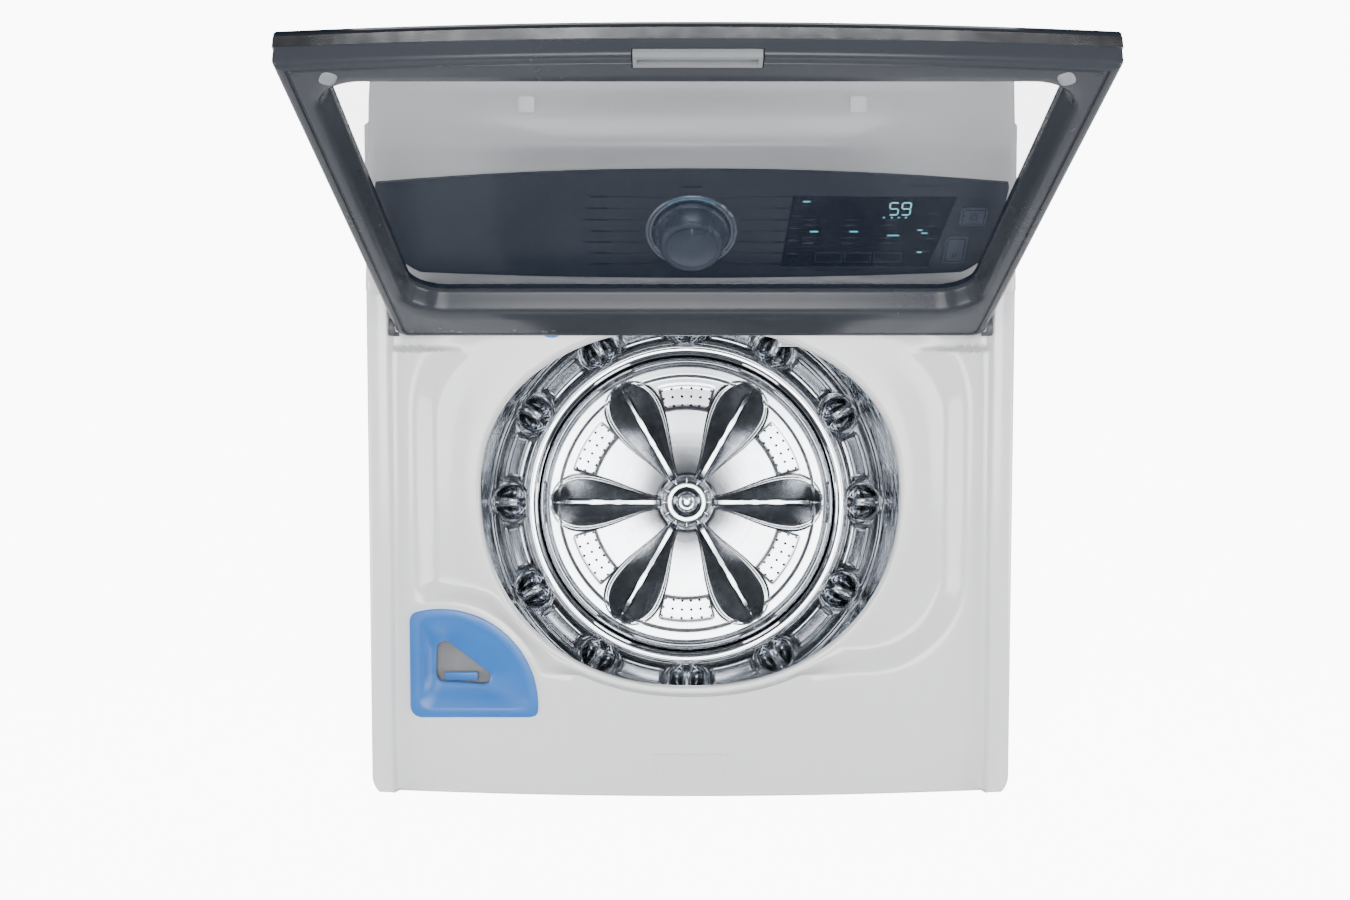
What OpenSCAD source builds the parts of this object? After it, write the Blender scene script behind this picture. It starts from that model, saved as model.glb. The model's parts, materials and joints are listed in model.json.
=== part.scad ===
// Top load washing machine with a glass lid, a slanted console and a wash plate drive.
// X runs to the right, Y runs to the back and Z up. The origin is on the floor under the middle.

/* [Cabinet] */
// Width of the cabinet
body_w = 686; // [600:1:860]
// Depth from the front edge of the deck to the back of the console
body_d = 743; // [700:1:900]
// Height of the deck rails at the line where the lid is hinged
hinge_h = 975; // [900:1:1200]
// Slope of the deck down to the front, in degrees
deck_tilt = 7.07; // [4:0.01:10]
// Distance of the lid's hinge line from the back of the console
hinge_back = 245.7; // [220:0.1:280]
// How far the middle of the front stands out past its sides
front_bow = 8; // [4:0.5:14]
// Radius of the front corners, seen from above
corner_r = 27; // [15:1:40]
// Thickness of the painted steel sheet
sheet_t = 1.2; // [0.8:0.1:2]
// Radius of the screws that hold the rear panel
screw_r = 2; // [1.5:0.1:3]
// Gap between the floor and the cabinet
toe_h = 22; // [18:1:40]
// How far the console stands out behind the rear panel
back_gap = 24; // [24:1:40]

/* [Base and feet] */
// Height of the base frame
base_h = 36; // [28:1:60]
// Width of the base frame's side members
base_rail = 38; // [30:1:60]
// Size of the square corner blocks that take the feet
base_block = 74; // [60:1:90]
// Distance of each foot from the cabinet's side and end
foot_inset = 46; // [40:1:60]
// Radius of a foot's stud
stud_r = 6; // [5:0.5:8]
// Radius of a foot's sole
sole_r = 22; // [16:1:30]

/* [Deck] */
// Wall thickness of the moulded plastic covers
cover_t = 3; // [2:0.1:4]
// Height of the top cover's side skirt
cover_h = 50; // [44:1:70]
// Width of the rails beside the lid
rail_w = 25; // [18:1:35]
// Depth of the flat floor below the rails
recess_depth = 15; // [12:0.5:20]
// Depth of the dished floor round the tub opening
dish_depth = 30; // [26:0.5:40]
// Distance of the dish's sides from the rails
dish_side = 18; // [8:1:38]
// Distance of the dish's front from the hinge line
dish_front = 405; // [395:1:420]
// Radius of the dish's front corners
dish_r = 110; // [60:1:140]
// Depth of the trough that the lid's rear edge turns into
trough_depth = 26; // [24:0.5:34]
// Distance of the floor's front crease from the hinge line
crease_front = 454; // [440:1:470]
// Slope of the ledge in front of the crease, against the deck
ledge_drop = 10; // [4:1:14]

/* [Tub opening] */
// Half width of the opening
opening_x = 228; // [200:1:240]
// Reach of the opening in front of the tub's axis
opening_front = 213; // [190:1:220]
// Reach of the opening behind the tub's axis
opening_rear = 175; // [160:1:180]
// Squareness of the opening's outline, 2 is an ellipse
opening_power = 2.2; // [2:0.1:3]
// Depth of the opening's turned down flange
opening_lip = 8; // [4:1:10]

/* [Dispensers] */
// Radius of the bleach tray's outer arc
tray_r = 105; // [90:1:115]
// Distance of the tray's arc centre from its straight sides, left and front
tray_side = [33, 13]; // [10:1:40]
// Radius of the softener cup
softener_r = 17; // [14:1:19]

/* [Lid] */
// Gap between the lid and each rail
lid_gap = 7.75; // [7.5:0.25:12]
// Length of the lid in front of the hinge pins
lid_len = 503; // [470:1:504]
// How far the lid reaches behind the hinge pins
lid_tail = 8.6; // [7:0.1:9]
// Thickness of the lid's moulded frame
lid_frame_t = 24; // [20:0.5:26]
// Thickness of the lid's glass
glass_t = 5; // [3:0.5:6]
// How far the lid's middle stands out past its front corners
lid_bow = 12; // [6:1:16]
// Angle from shut to fully open
lid_open = 112; // [100:1:114]
// Distance of the window from the lid's sides
window_side = 28.25; // [25:0.25:40]
// Distance from the hinge pins to the window
window_start = 62; // [55:1:80]
// Length of the window
window_len = 397; // [360:1:400]
// Radius of the window's corners
window_r = 34; // [20:1:45]
// Height of the hinge pins above the lid's inner face
pin_up = 8; // [7:0.5:9]
// Radius of the hinge pins
pin_r = 5; // [4:0.5:5.5]

/* [Console] */
// Height of the console's top above the hinge line
console_h = 155; // [150:1:175]
// Slope of the control panel
panel_tilt = 52.5; // [48:0.5:56]
// Distance of the control panel from the cabinet's sides
panel_side = 34; // [28:1:48]
// Height of the control panel, measured up its slope
panel_len = 138; // [132:1:142]
// Radius of the control panel's lower corners
panel_low_r = 60; // [30:1:64]
// Radius of the control panel's upper corners
panel_high_r = 24; // [12:1:40]
// Thickness of the control panel
panel_t = 3; // [2:0.5:4]
// Radius of the knob's foot
knob_r = 38; // [32:0.5:39]
// Radius of the knob's face
knob_face_r = 30; // [24:0.5:31]
// Height of the knob
knob_h = 26; // [20:1:27]
// Distance of the knob's centre from the panel's bottom edge
knob_up = 62; // [56:1:70]
// Travel of the push buttons
button_travel = 1.5; // [1:0.1:2]

/* [Tub] */
// Distance of the tub's axis in front of the cabinet's middle
tub_forward = 38.5; // [30:0.5:45]
// Inner radius of the outer tub
tub_r = 290; // [286:1:300]
// Wall thickness of the outer tub
tub_t = 3; // [2.5:0.1:4]
// Height of the outer tub's floor
tub_floor = 392; // [380:1:400]
// Height of the outer tub's rim
tub_top = 862; // [840:1:864]
// Distance of the suspension rods from the tub's axis
rod_pcd_r = 335; // [330:1:345]
// Radius of a suspension rod
rod_r = 4; // [3:0.5:5]
// Distance of the suspension brackets below the top cover's skirt
bracket_drop = 17; // [13:1:43]
// Length of a suspension bracket, across its corner
bracket_w = 430; // [200:1:440]
// Height of the underside of the tub's lugs
lug_z = 470; // [440:1:500]
// Length of a suspension spring
spring_len = 84; // [70:1:100]

/* [Basket] */
// Inner radius of the wash basket
basket_r = 272; // [266:0.5:274]
// Thickness of the stainless sheet
steel_t = 1.2; // [1:0.1:1.6]
// Height of the seam between the basket's base and its wall
basket_seam = 501; // [490:1:510]
// Height of the basket's rim
basket_top = 850; // [820:1:850]
// Number of pressed pockets round the base
pocket_count = 12; // [8:1:14]
// Height of the balance ring
balance_h = 50; // [30:1:60]
// Width of the balance ring
balance_w = 27; // [20:1:34]

/* [Drive] */
// Radius of the wash plate
plate_r = 208; // [190:1:210]
// Gap between the wash plate and the basket's base
plate_gap = 3; // [2:0.5:5]
// Height of the wash plate's rim
plate_z = 442; // [440:1:446]
// Number of raised petals on the wash plate
petal_count = 6; // [3:1:6]
// Radius of the drive shaft
shaft_r = 10; // [8:0.5:12]
// Outer radius of the spin tube
spin_r = 17.5; // [16:0.5:20]
// Radius of the main bearings
bearing_r = 31; // [28:0.5:34]
// Radius of the motor's rotor
rotor_r = 140; // [120:1:150]

/* [Fits] */
// Clearance of shafts and pins in their bores
running_gap = 0.05; // [0.02:0.01:0.1]
// Gap between parts that slide past each other
slide_gap = 0.4; // [0.3:0.1:0.8]

/* [Hidden] */
$fn = 96;

half_w = body_w / 2;
back_y = body_d / 2 - back_gap;
front_y = -body_d / 2;
hinge_y = body_d / 2 - hinge_back;
tub_y = -tub_forward;
bow_r = (half_w * half_w + front_bow * front_bow) / (2 * front_bow);
far = 2 * (body_w + body_d);

recess_w = body_w - 2 * rail_w;
trough_front = -14;
lid_w = recess_w - 2 * lid_gap;
dish_w = recess_w - 2 * dish_side;
window_w = lid_w - 2 * window_side;
panel_w = body_w - 2 * panel_side;
pin_v = 5.6;
pin_w = -4;
frame_low = -pin_up;
frame_high = frame_low + lid_frame_t;
trough_back = frame_high + 18;
lid_end_r = (lid_w * lid_w / 4 + lid_bow * lid_bow) / (2 * lid_bow);
ear_t = lid_gap - 1.75;

cap_side = 15;
lip_y = hinge_y + trough_back + cover_t + 2;
panel_y = hinge_y + 55.5;
panel_z = hinge_h + 25;
panel_top_y = panel_y + panel_len * cos(panel_tilt);
panel_top_z = panel_z + panel_len * sin(panel_tilt);
console_top = hinge_h + console_h;
board_n = -24;
display_x = [knob_r + 54, panel_w / 2 - 49];
display_e = [16, 106];
power_at = [panel_w / 2 - 29, 81];
start_at = [panel_w / 2 - 41, 38];
board_x = [-120, panel_w / 2 - 17];

valve_x = 120;
valve_z = 905;
valve_pitch = 64;
inlet_r = 13.2;
drain_at = [-120, 220];
outlet_z = 96;
outlet_r = 14;
gland_at = [-250, 820];
tub_out_r = tub_r + tub_t;
rod_low = lug_z - spring_len - 8;
bracket_z = round(deck_z(front_y, -cover_h) - bracket_drop);

// Height of the plane that lies w above the rails, at depth y
function deck_z(y, w = 0) = hinge_h + (y - hinge_y) * tan(deck_tilt) + w / cos(deck_tilt);

// Point of a rounded oval, with its own reach to the front and the rear
function oval_point(a, rx, front, rear, power) =
    let (c = cos(a), s = sin(a), ry = s < 0 ? front : rear)
    [rx * sign(c) * pow(abs(c), 2 / power), ry * sign(s) * pow(abs(s), 2 / power)];

// Moves its children to the deck's plane: Y runs back along the slope, Z stands on it
module on_deck() {
    translate([0, hinge_y, hinge_h]) rotate([deck_tilt, 0, 0]) children();
}

// Moves its children to the open lid: Y runs from the pins to the free end, Z to the outer face
module on_lid() {
    on_deck() translate([0, pin_v, pin_w]) rotate([-lid_open, 0, 0]) mirror([0, 1, 0]) children();
}

// Moves its children to the control panel: Y runs up the slope, Z stands on it
module on_panel() {
    translate([0, panel_y, panel_z]) rotate([panel_tilt, 0, 0]) children();
}

module at_tub(z = 0) {
    translate([0, tub_y, z]) children();
}

// Outline of the cabinet seen from above, with a bowed front
module plan(inset = 0, back = back_y) {
    w = half_w - inset;
    r = max(corner_r - inset, 3);
    f = front_y + inset;
    intersection() {
        union() {
            translate([-w, f + r]) square([2 * w, back - f - r]);
            translate([r - w, f]) square([2 * (w - r), 2 * r]);
            for (side = [-1, 1]) translate([side * (w - r), f + r]) circle(r);
        }
        translate([0, front_y + bow_r]) circle(bow_r - inset, $fn = 720);
    }
}

module rounded_square(size, r) {
    for (across = [0, 1])
        translate([across == 0 ? r : 0, across == 0 ? 0 : r])
            square([size.x - (across == 0 ? 2 * r : 0), size.y - (across == 0 ? 0 : 2 * r)]);
    for (x = [r, size.x - r], y = [r, size.y - r]) translate([x, y]) circle(r);
}

module rounded_plate(size, r, t) {
    translate([-size.x / 2, -size.y / 2, 0]) linear_extrude(t) rounded_square(size, r);
}

module ring(outer, inner, h) {
    difference() {
        cylinder(r = outer, h = h);
        translate([0, 0, -1]) cylinder(r = inner, h = h + 2);
    }
}

// ---- Cabinet, base and feet ----

module cabinet() {
    z_top = deck_z(back_y, 0);
    color("white") difference() {
        union() {
            difference() {
                translate([0, 0, toe_h]) linear_extrude(z_top - toe_h) plan();
                translate([0, 0, toe_h - 1]) linear_extrude(z_top) plan(sheet_t, back_y + 1);
                on_deck() translate([-far / 2, -far / 2, -cover_h]) cube([far, far, far]);
            }
            for (side = [-1, 1])
                translate([side * (half_w - 11) - 11, back_y - 2 * sheet_t, toe_h])
                    cube([22, sheet_t, deck_z(back_y, -cover_h) - toe_h - 1]);
        }
        screw_holes();
    }
}

module rear_panel() {
    w = body_w - 2 * sheet_t - 2 * slide_gap;
    top = deck_z(back_y, -cover_h) - 1;
    rib_h = gland_at.y - 240;
    color("gainsboro") difference() {
        union() {
            translate([-w / 2, back_y - sheet_t, toe_h]) cube([w, sheet_t, top - toe_h]);
            for (x = [-w / 4, 0, w / 4])
                translate([x, back_y, 180 + rib_h / 2]) rotate([90, 0, 0])
                    rounded_plate([26, rib_h], 12, sheet_t);
            for (x = [-w / 4, 0, w / 4])
                translate([x, back_y + 3, 180 + rib_h / 2]) rotate([90, 0, 0])
                    rounded_plate([20, rib_h - 6], 9, 3.2);
        }
        for (side = [-1, 1])
            translate([valve_x + side * valve_pitch / 2, back_y - 20, valve_z]) rotate([-90, 0, 0])
                cylinder(r = inlet_r + 3, h = 40);
        translate([drain_at.x, back_y - 20, outlet_z]) rotate([-90, 0, 0])
            cylinder(r = outlet_r + 2, h = 40);
        translate([gland_at.x, back_y - 20, gland_at.y]) rotate([-90, 0, 0])
            cylinder(r = 10, h = 40);
        for (row = [0:5], x = [-w / 2 + 80, w / 2 - 140])
            translate([x, back_y - 5, 640 + row * 14]) cube([60, 10, 5]);
        screw_holes();
    }
}

module foot_places() {
    for (x = [-half_w + foot_inset, half_w - foot_inset])
        for (y = [front_y + front_bow + foot_inset, back_y - foot_inset])
            translate([x, y, 0]) children();
}

module base_frame() {
    gap = sheet_t + slide_gap;
    color("dimgray") difference() {
        intersection() {
            translate([0, 0, toe_h]) linear_extrude(base_h) plan(gap, back_y - 2 * sheet_t - 1);
            union() {
                translate([0, 0, toe_h]) linear_extrude(base_h) difference() {
                    plan(gap, back_y - 2 * sheet_t - 1);
                    plan(gap + base_rail, back_y - 2 * sheet_t - 1 - base_rail);
                }
                foot_places() translate([-base_block / 2, -base_block / 2, toe_h])
                    cube([base_block, base_block, base_h]);
                translate([-half_w, drain_at.y - 75, toe_h]) cube([body_w, 110, 10]);
            }
        }
        foot_places() translate([0, 0, toe_h - 1]) cylinder(r = stud_r + running_gap, h = base_h + 2);
    }
}

module foot_lock_nuts() {
    color("silver") foot_places() difference() {
        translate([0, 0, toe_h - 7]) cylinder(r = stud_r * 1.8, h = 7, $fn = 6);
        cylinder(r = stud_r + running_gap, h = toe_h);
    }
}

module foot(x, y) {
    color("gray") translate([x, y, 0]) {
        cylinder(r = sole_r, h = 5);
        translate([0, 0, 5]) cylinder(r1 = sole_r, r2 = stud_r * 2.2, h = 4);
        cylinder(r = stud_r * 2, h = toe_h - 7.4, $fn = 6);
        cylinder(r = stud_r, h = toe_h + base_h + 8);
    }
}

module foot_front_left() {
    foot(-half_w + foot_inset, front_y + front_bow + foot_inset);
}

module foot_front_right() {
    foot(half_w - foot_inset, front_y + front_bow + foot_inset);
}

module foot_rear_left() {
    foot(-half_w + foot_inset, back_y - foot_inset);
}

module foot_rear_right() {
    foot(half_w - foot_inset, back_y - foot_inset);
}

module screw_places() {
    for (side = [-1, 1], z = [60, 300, 540, 780, 920])
        translate([side * (half_w - 12), back_y - 8, z]) rotate([-90, 0, 0]) children();
}

module screw_holes() {
    screw_places() cylinder(r = screw_r + slide_gap, h = 12);
}

module cabinet_screws() {
    color("silver") screw_places() {
        cylinder(r = screw_r, h = 8);
        translate([0, 0, 8]) cylinder(r1 = 5, r2 = 3, h = 2.4);
    }
}

// ---- Suspension ----

module rod_places(z = 0) {
    step = rod_pcd_r * sqrt(0.5);
    for (side = [-1, 1], end = [-1, 1]) translate([side * step, tub_y + end * step, z]) children();
}

module corner_brackets() {
    gap = sheet_t + 0.1;
    edge = half_w - gap;
    front = front_y + front_bow + gap;
    back = back_y - 2 * sheet_t - 0.1;
    color("lightsteelblue") difference() {
        for (side = [-1, 1], end = [-1, 1]) {
            wall = end < 0 ? front : back;
            reach = (edge + abs(wall - tub_y)) * sqrt(0.5) - corner_r * 0.75;
            intersection() {
                translate([-edge, front, bracket_z]) cube([2 * edge, back - front, 3]);
                at_tub(bracket_z - 1) rotate([0, 0, atan2(end, side)])
                    translate([rod_pcd_r - 24, -bracket_w / 2, 0])
                        cube([reach - rod_pcd_r + 24, bracket_w, 5]);
            }
        }
        rod_places(bracket_z - 1) cylinder(r = rod_r + slide_gap, h = 6);
    }
}

module suspension_rods() {
    color("silver") rod_places() {
        translate([0, 0, rod_low]) cylinder(r = rod_r, h = bracket_z + 8 - rod_low);
        translate([0, 0, rod_low]) cylinder(r = 20, h = 7);
        translate([0, 0, bracket_z + 3]) cylinder(r1 = 12, r2 = 7, h = 9);
    }
}

// Wire of a coil spring that stands on the XY plane
module coil(radius, wire, length, turns, sides = 5, steps = 12) {
    count = turns * steps;
    rise = (length - 2 * wire) / count;
    points = [for (i = [0:count], k = [0:sides - 1])
        let (turn = i * 360 / steps, around = k * 360 / sides, reach = radius + wire * cos(around))
        [reach * cos(turn), reach * sin(turn), wire + i * rise + wire * sin(around)]];
    tube = [for (i = [0:count - 1], k = [0:sides - 1])
        let (a = i * sides + k, b = i * sides + (k + 1) % sides)
        each [[a, b, b + sides], [a, b + sides, a + sides]]];
    first = [for (k = [sides - 1:-1:0]) k];
    last = [for (k = [0:sides - 1]) count * sides + k];
    polyhedron(points, concat(tube, [first, last]), convexity = 10);
}

module suspension_springs() {
    color("darkgray") rod_places(rod_low + 7) coil(13, 2.6, spring_len, 5);
}

// ---- Top cover and dispensers ----

// Outline of the bleach tray seen along the deck's normal
module tray_outline(inset = 0) {
    left = -recess_w / 2 + 17;
    front = -414;
    r = 13 - inset / 2;
    centre = [left + tray_side.x, front + tray_side.y];
    reach = tray_r - inset;
    intersection() {
        translate([left + inset, front + inset]) rounded_square([tray_r * 1.4, tray_r * 1.4], r);
        translate(centre) circle(reach);
    }
}

module opening_outline(grow = 0) {
    polygon([for (a = [0:5:355])
        oval_point(a, opening_x + grow, opening_front + grow, opening_rear + grow, opening_power)]);
}

// Everything that is open above the deck's floors, made larger by a wall's thickness
module deck_void(wall = 0) {
    ledge = 120;
    floor_w = -recess_depth - wall;
    on_deck() {
        rotate([90, 0, 90]) linear_extrude(recess_w + 2 * wall, center = true) polygon([
            [-crease_front - ledge, far], [-crease_front - ledge, floor_w - ledge * tan(ledge_drop)],
            [-crease_front, floor_w], [trough_front - wall, floor_w],
            [trough_front - wall, -trough_depth - wall], [trough_back + wall, -trough_depth - wall],
            [trough_back + wall, far]]);
        translate([0, 0, -dish_depth - wall]) linear_extrude(far) difference() {
            translate([-dish_w / 2 - wall, -dish_front - wall])
                rounded_square([dish_w + 2 * wall, dish_front + trough_back + dish_r + wall], dish_r);
            translate([-far / 2, trough_back + wall]) square([far, far]);
            tray_outline(-6 + wall);
        }
    }
}

module cover_block(inset) {
    low = deck_z(front_y, -cover_h) - 5;
    intersection() {
        translate([0, 0, low]) linear_extrude(far) plan(inset, back_y - inset);
        on_deck() translate([-far / 2, -far / 2, -far - inset]) cube([far, far, far]);
    }
}

module top_cover() {
    rim_z = deck_z(tub_y - opening_front, -dish_depth - cover_t);
    color("white") difference() {
        union() {
            difference() {
                cover_block(0);
                deck_void(0);
                difference() {
                    cover_block(cover_t);
                    deck_void(cover_t);
                }
                on_deck() translate([-far / 2, -far / 2, -far - cover_h]) cube([far, far, far]);
            }
            intersection() {
                at_tub(rim_z - 60) linear_extrude(200) opening_outline(cover_t);
                on_deck() translate([-far / 2, -far / 2, -dish_depth - cover_t - opening_lip])
                    cube([far, far, cover_t + opening_lip]);
            }
        }
        at_tub(rim_z - 100) linear_extrude(400) opening_outline();
        on_deck() translate([0, 0, -recess_depth - 40]) linear_extrude(60) tray_outline(8);
        on_deck() translate([-149, 12, -dish_depth - 10]) cylinder(r = softener_r - 2, h = 20);
    }
}

module bleach_hole(grow = 0) {
    left = -recess_w / 2 + 17;
    hull() {
        translate([left + 35, -368]) circle(9 + grow, $fn = 32);
        translate([left + 36, -342]) circle(9 + grow, $fn = 32);
        translate([left + 77, -372]) circle(8 + grow, $fn = 32);
    }
}

module bleach_tray() {
    color("steelblue") on_deck() difference() {
        union() {
            translate([0, 0, -recess_depth]) linear_extrude(3) tray_outline();
            translate([0, 0, -recess_depth - 12]) linear_extrude(13) tray_outline(10);
        }
        translate([0, 0, -recess_depth - 9]) linear_extrude(20) tray_outline(16);
        translate([0, 0, -recess_depth - 20]) linear_extrude(30) bleach_hole();
    }
}

module bleach_cup() {
    deep = 27;
    color("slategray") on_deck() translate([0, 0, -recess_depth - deep]) difference() {
        linear_extrude(deep - 12) bleach_hole(6);
        translate([0, 0, 2]) linear_extrude(deep) bleach_hole(4);
    }
}

module softener_cup() {
    color("steelblue") on_deck() translate([-149, 12, 0]) difference() {
        union() {
            translate([0, 0, -dish_depth]) cylinder(r = softener_r, h = 2);
            translate([0, 0, -dish_depth - 34]) cylinder(r = softener_r - 2.2, h = 35);
        }
        translate([0, 0, -dish_depth - 32]) cylinder(r = softener_r - 4, h = 40);
    }
}

module grip_pad() {
    color("white") on_deck() translate([0, -crease_front, -recess_depth]) rotate([ledge_drop, 0, 0])
        translate([0, -0.5, 0]) linear_extrude(2)
            polygon([[-41, 0], [41, 0], [35, -30], [-35, -30]]);
}

module lid_sensor() {
    low_w = -recess_depth - cover_t - 24;
    color("dimgray") on_deck() translate([half_w - 110, -crease_front + 15, low_w]) {
        rounded_plate([80, 26], 5, 24);
        translate([0, 0, -6]) rounded_plate([30, 16], 3, 8);
    }
}

module hinge_brackets() {
    color("dimgray") on_deck() for (side = [-1, 1])
        translate([side * (recess_w / 2 - 0.5 - ear_t / 2), 0, 0]) difference() {
            union() {
                translate([-ear_t / 2, pin_v - 9, -trough_depth]) cube([ear_t, 18, trough_depth + pin_w]);
                translate([-ear_t / 2, pin_v, pin_w]) rotate([0, 90, 0]) cylinder(r = 9, h = ear_t);
            }
            translate([-20, pin_v, pin_w]) rotate([0, 90, 0]) cylinder(r = pin_r + running_gap, h = 40);
        }
}

// ---- Lid, drawn open ----

module lid_outline(inset = 0) {
    w = lid_w / 2 - inset;
    r = 14;
    intersection() {
        translate([-w, inset - lid_tail]) rounded_square([2 * w, lid_tail + lid_len - 2 * inset], r);
        translate([0, lid_len - lid_end_r]) circle(lid_end_r - inset, $fn = 720);
    }
}

module window_outline(grow = 0) {
    translate([-window_w / 2 - grow, window_start - grow])
        rounded_square([window_w + 2 * grow, window_len + 2 * grow], window_r + grow);
}

module lid_frame() {
    seal_w = 9;
    color("slategray") on_lid() difference() {
        translate([0, 0, frame_low]) linear_extrude(lid_frame_t) lid_outline(0.6);
        translate([0, 0, frame_low - 1]) linear_extrude(lid_frame_t + 2) window_outline();
        translate([0, 0, frame_high - 1.5]) linear_extrude(3) window_outline(seal_w);
        trim_space(0);
        translate([-48, lid_len - 16, frame_low - 1]) cube([96, 40, 8]);
        for (side = [-1, 1]) translate([side * 272, lid_len - 30, frame_low - 1])
            cylinder(r = 7, h = 5);
        for (side = [-1, 1]) translate([side * (lid_w / 2 - 10), 0, 0]) rotate([0, 90, 0])
            cylinder(r = pin_r, h = 24, center = true);
    }
}

module trim_space(gap) {
    translate([0, 0, frame_high - 9 + gap]) linear_extrude(9 - 2 * gap) difference() {
        translate([-lid_w / 2 - 10, lid_len - 60]) square([lid_w + 20, 80]);
        translate([0, lid_len - lid_end_r]) circle(lid_end_r - 12 + gap, $fn = 720);
    }
}

module lid_trim() {
    color("silver") on_lid() intersection() {
        trim_space(0);
        translate([0, 0, frame_low]) linear_extrude(lid_frame_t) lid_outline();
    }
}

module lid_glass() {
    color([0.25, 0.3, 0.38, 0.6]) on_lid()
        translate([0, 0, frame_high]) linear_extrude(glass_t) lid_outline();
}

module lid_seal() {
    color("black") on_lid() translate([0, 0, frame_high - 1.5]) linear_extrude(1.5) difference() {
        window_outline(8.6);
        window_outline(1);
    }
}

module lid_grip() {
    color("lightgray") on_lid() difference() {
        translate([-47, lid_len - 15.5, frame_low]) cube([94, 13, 7]);
        translate([-44, lid_len - 13, frame_low - 1]) cube([88, 8, 5]);
    }
}

module lid_bumpers() {
    color("lightgray") on_lid() for (side = [-1, 1])
        translate([side * 272, lid_len - 30, frame_low - 1.5]) {
            cylinder(r = 7, h = 5.5);
        }
}

module lid_hinge_pins() {
    length = 12 + lid_gap - 0.9;
    color("silver") on_lid() for (side = [-1, 1])
        translate([side * (lid_w / 2 - 12 + length / 2), 0, 0]) rotate([0, 90, 0])
            cylinder(r = pin_r, h = length, center = true);
}

// ---- Console ----

// Side view of the console, as [y, z], made smaller by a wall's thickness
module console_profile(wall = 0) {
    rear = body_d / 2;
    low = hinge_h - 40;
    polygon([
        [lip_y + wall, low - wall], [lip_y + wall, panel_z - 8 - wall / 3],
        [panel_y - 4 + wall, panel_z - 4 - wall / 2],
        [panel_top_y + 1 + wall / 2, panel_top_z + 1 - wall],
        [panel_top_y + 16, console_top - 6 - wall], [rear - 40, console_top - wall],
        [rear - 12, console_top - 8 - wall], [rear - wall, console_top - 30],
        [rear - wall, low - wall]]);
}

// Keeps what lies inside the console's leaning end walls
module console_ends(wall = 0) {
    lean = 13;
    for (side = [0, 1]) mirror([side, 0, 0])
        translate([half_w - wall, 0, hinge_h]) rotate([0, -lean, 0])
            translate([0, -far / 2, -far / 2]) cube([far, far, far]);
}

module console_block(wall = 0) {
    difference() {
        rotate([90, 0, 90]) linear_extrude(body_w - 2 * wall, center = true) console_profile(wall);
        console_ends(wall);
        on_deck() translate([-far / 2, -far / 2, -far + (wall > 0 ? -5 : 0.2)]) cube([far, far, far]);
    }
}

module panel_outline(inset = 0) {
    w = panel_w / 2 - inset;
    bow = 5000;
    intersection() {
        translate([-w, inset]) rounded_square([2 * w, 2 * panel_len], panel_low_r - inset);
        translate([-w, -panel_len - inset]) rounded_square([2 * w, 2 * panel_len], panel_high_r - inset);
        translate([0, bow]) circle(bow - inset, $fn = 720);
        translate([0, panel_len - 0.6 * bow]) circle(0.6 * bow - inset, $fn = 720);
    }
}

module console_housing() {
    color("white") difference() {
        console_block();
        console_block(cover_t);
        translate([-half_w, body_d / 2 - cover_t - 0.1, 0]) cube([body_w, 20, console_top - 32]);
        cap_places() translate([0, 0, -running_gap])
            rounded_plate([cap_side + 2 * running_gap, cap_side + 2 * running_gap], 2, 8);
        on_panel() translate([0, 0, -12]) linear_extrude(30) panel_outline(6);
        on_panel() translate([0, 0, -slide_gap / 2]) linear_extrude(30) panel_outline(-0.5);
    }
}

module console_rear_cover() {
    low = deck_z(body_d / 2, 0.4);
    high = console_top - 32.4;
    w = body_w - 2 * cover_t - 90;
    color("whitesmoke") difference() {
        translate([-w / 2, body_d / 2 - cover_t, low]) cube([w, cover_t, high - low]);
        for (row = [0:3], x = [-w / 2 + 70, w / 2 - 170])
            translate([x, body_d / 2 - 10, low + 24 + row * 12]) cube([100, 20, 4]);
    }
}

// Outline of the display, leaning with the panel's right side
module display_outline(inset = 0) {
    lean = 16;
    polygon([[display_x[0] + inset, display_e[0] + inset],
        [display_x[1] - lean - inset, display_e[0] + inset],
        [display_x[1] - inset, display_e[1] - inset], [display_x[0] + 7 + inset, display_e[1] - inset]]);
}

module power_outline(gap = 0) {
    translate([power_at.x - 13 - gap, power_at.y - 11 - gap])
        rounded_square([26 + 2 * gap, 22 + 2 * gap], 3);
}

module start_outline(gap = 0) {
    translate([start_at.x - 11 - gap, start_at.y - 17 - gap])
        rounded_square([22 + 2 * gap, 34 + 2 * gap], 3);
}

module control_panel() {
    color("midnightblue") on_panel() difference() {
        linear_extrude(panel_t) panel_outline();
        translate([0, 0, panel_t - 1]) linear_extrude(5) display_outline(-0.2);
        translate([0, knob_up, -1]) cylinder(r = 7, h = 10);
        translate([0, 0, -1]) linear_extrude(10) power_outline(slide_gap);
        translate([0, 0, -1]) linear_extrude(10) start_outline(slide_gap);
    }
}

module display_window() {
    color("black") on_panel() translate([0, 0, panel_t - 1]) linear_extrude(1.3) display_outline();
}

module knob_ring() {
    color("lightsteelblue") on_panel() translate([0, knob_up, panel_t]) ring(knob_r + 8, knob_r + 2, 2);
}

module knob() {
    color("slategray") on_panel() translate([0, knob_up, panel_t + slide_gap]) {
        rotate_extrude() polygon([
            [0, 1], [knob_r - 3, 1], [knob_r - 3, 0], [knob_r, 0], [knob_r, 4],
            [knob_face_r + 1.5, knob_h - 3], [knob_face_r - 2, knob_h], [0, knob_h]]);
        translate([0, 0, -panel_t - 11]) cylinder(r = 3, h = panel_t + 13);
    }
}

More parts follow.
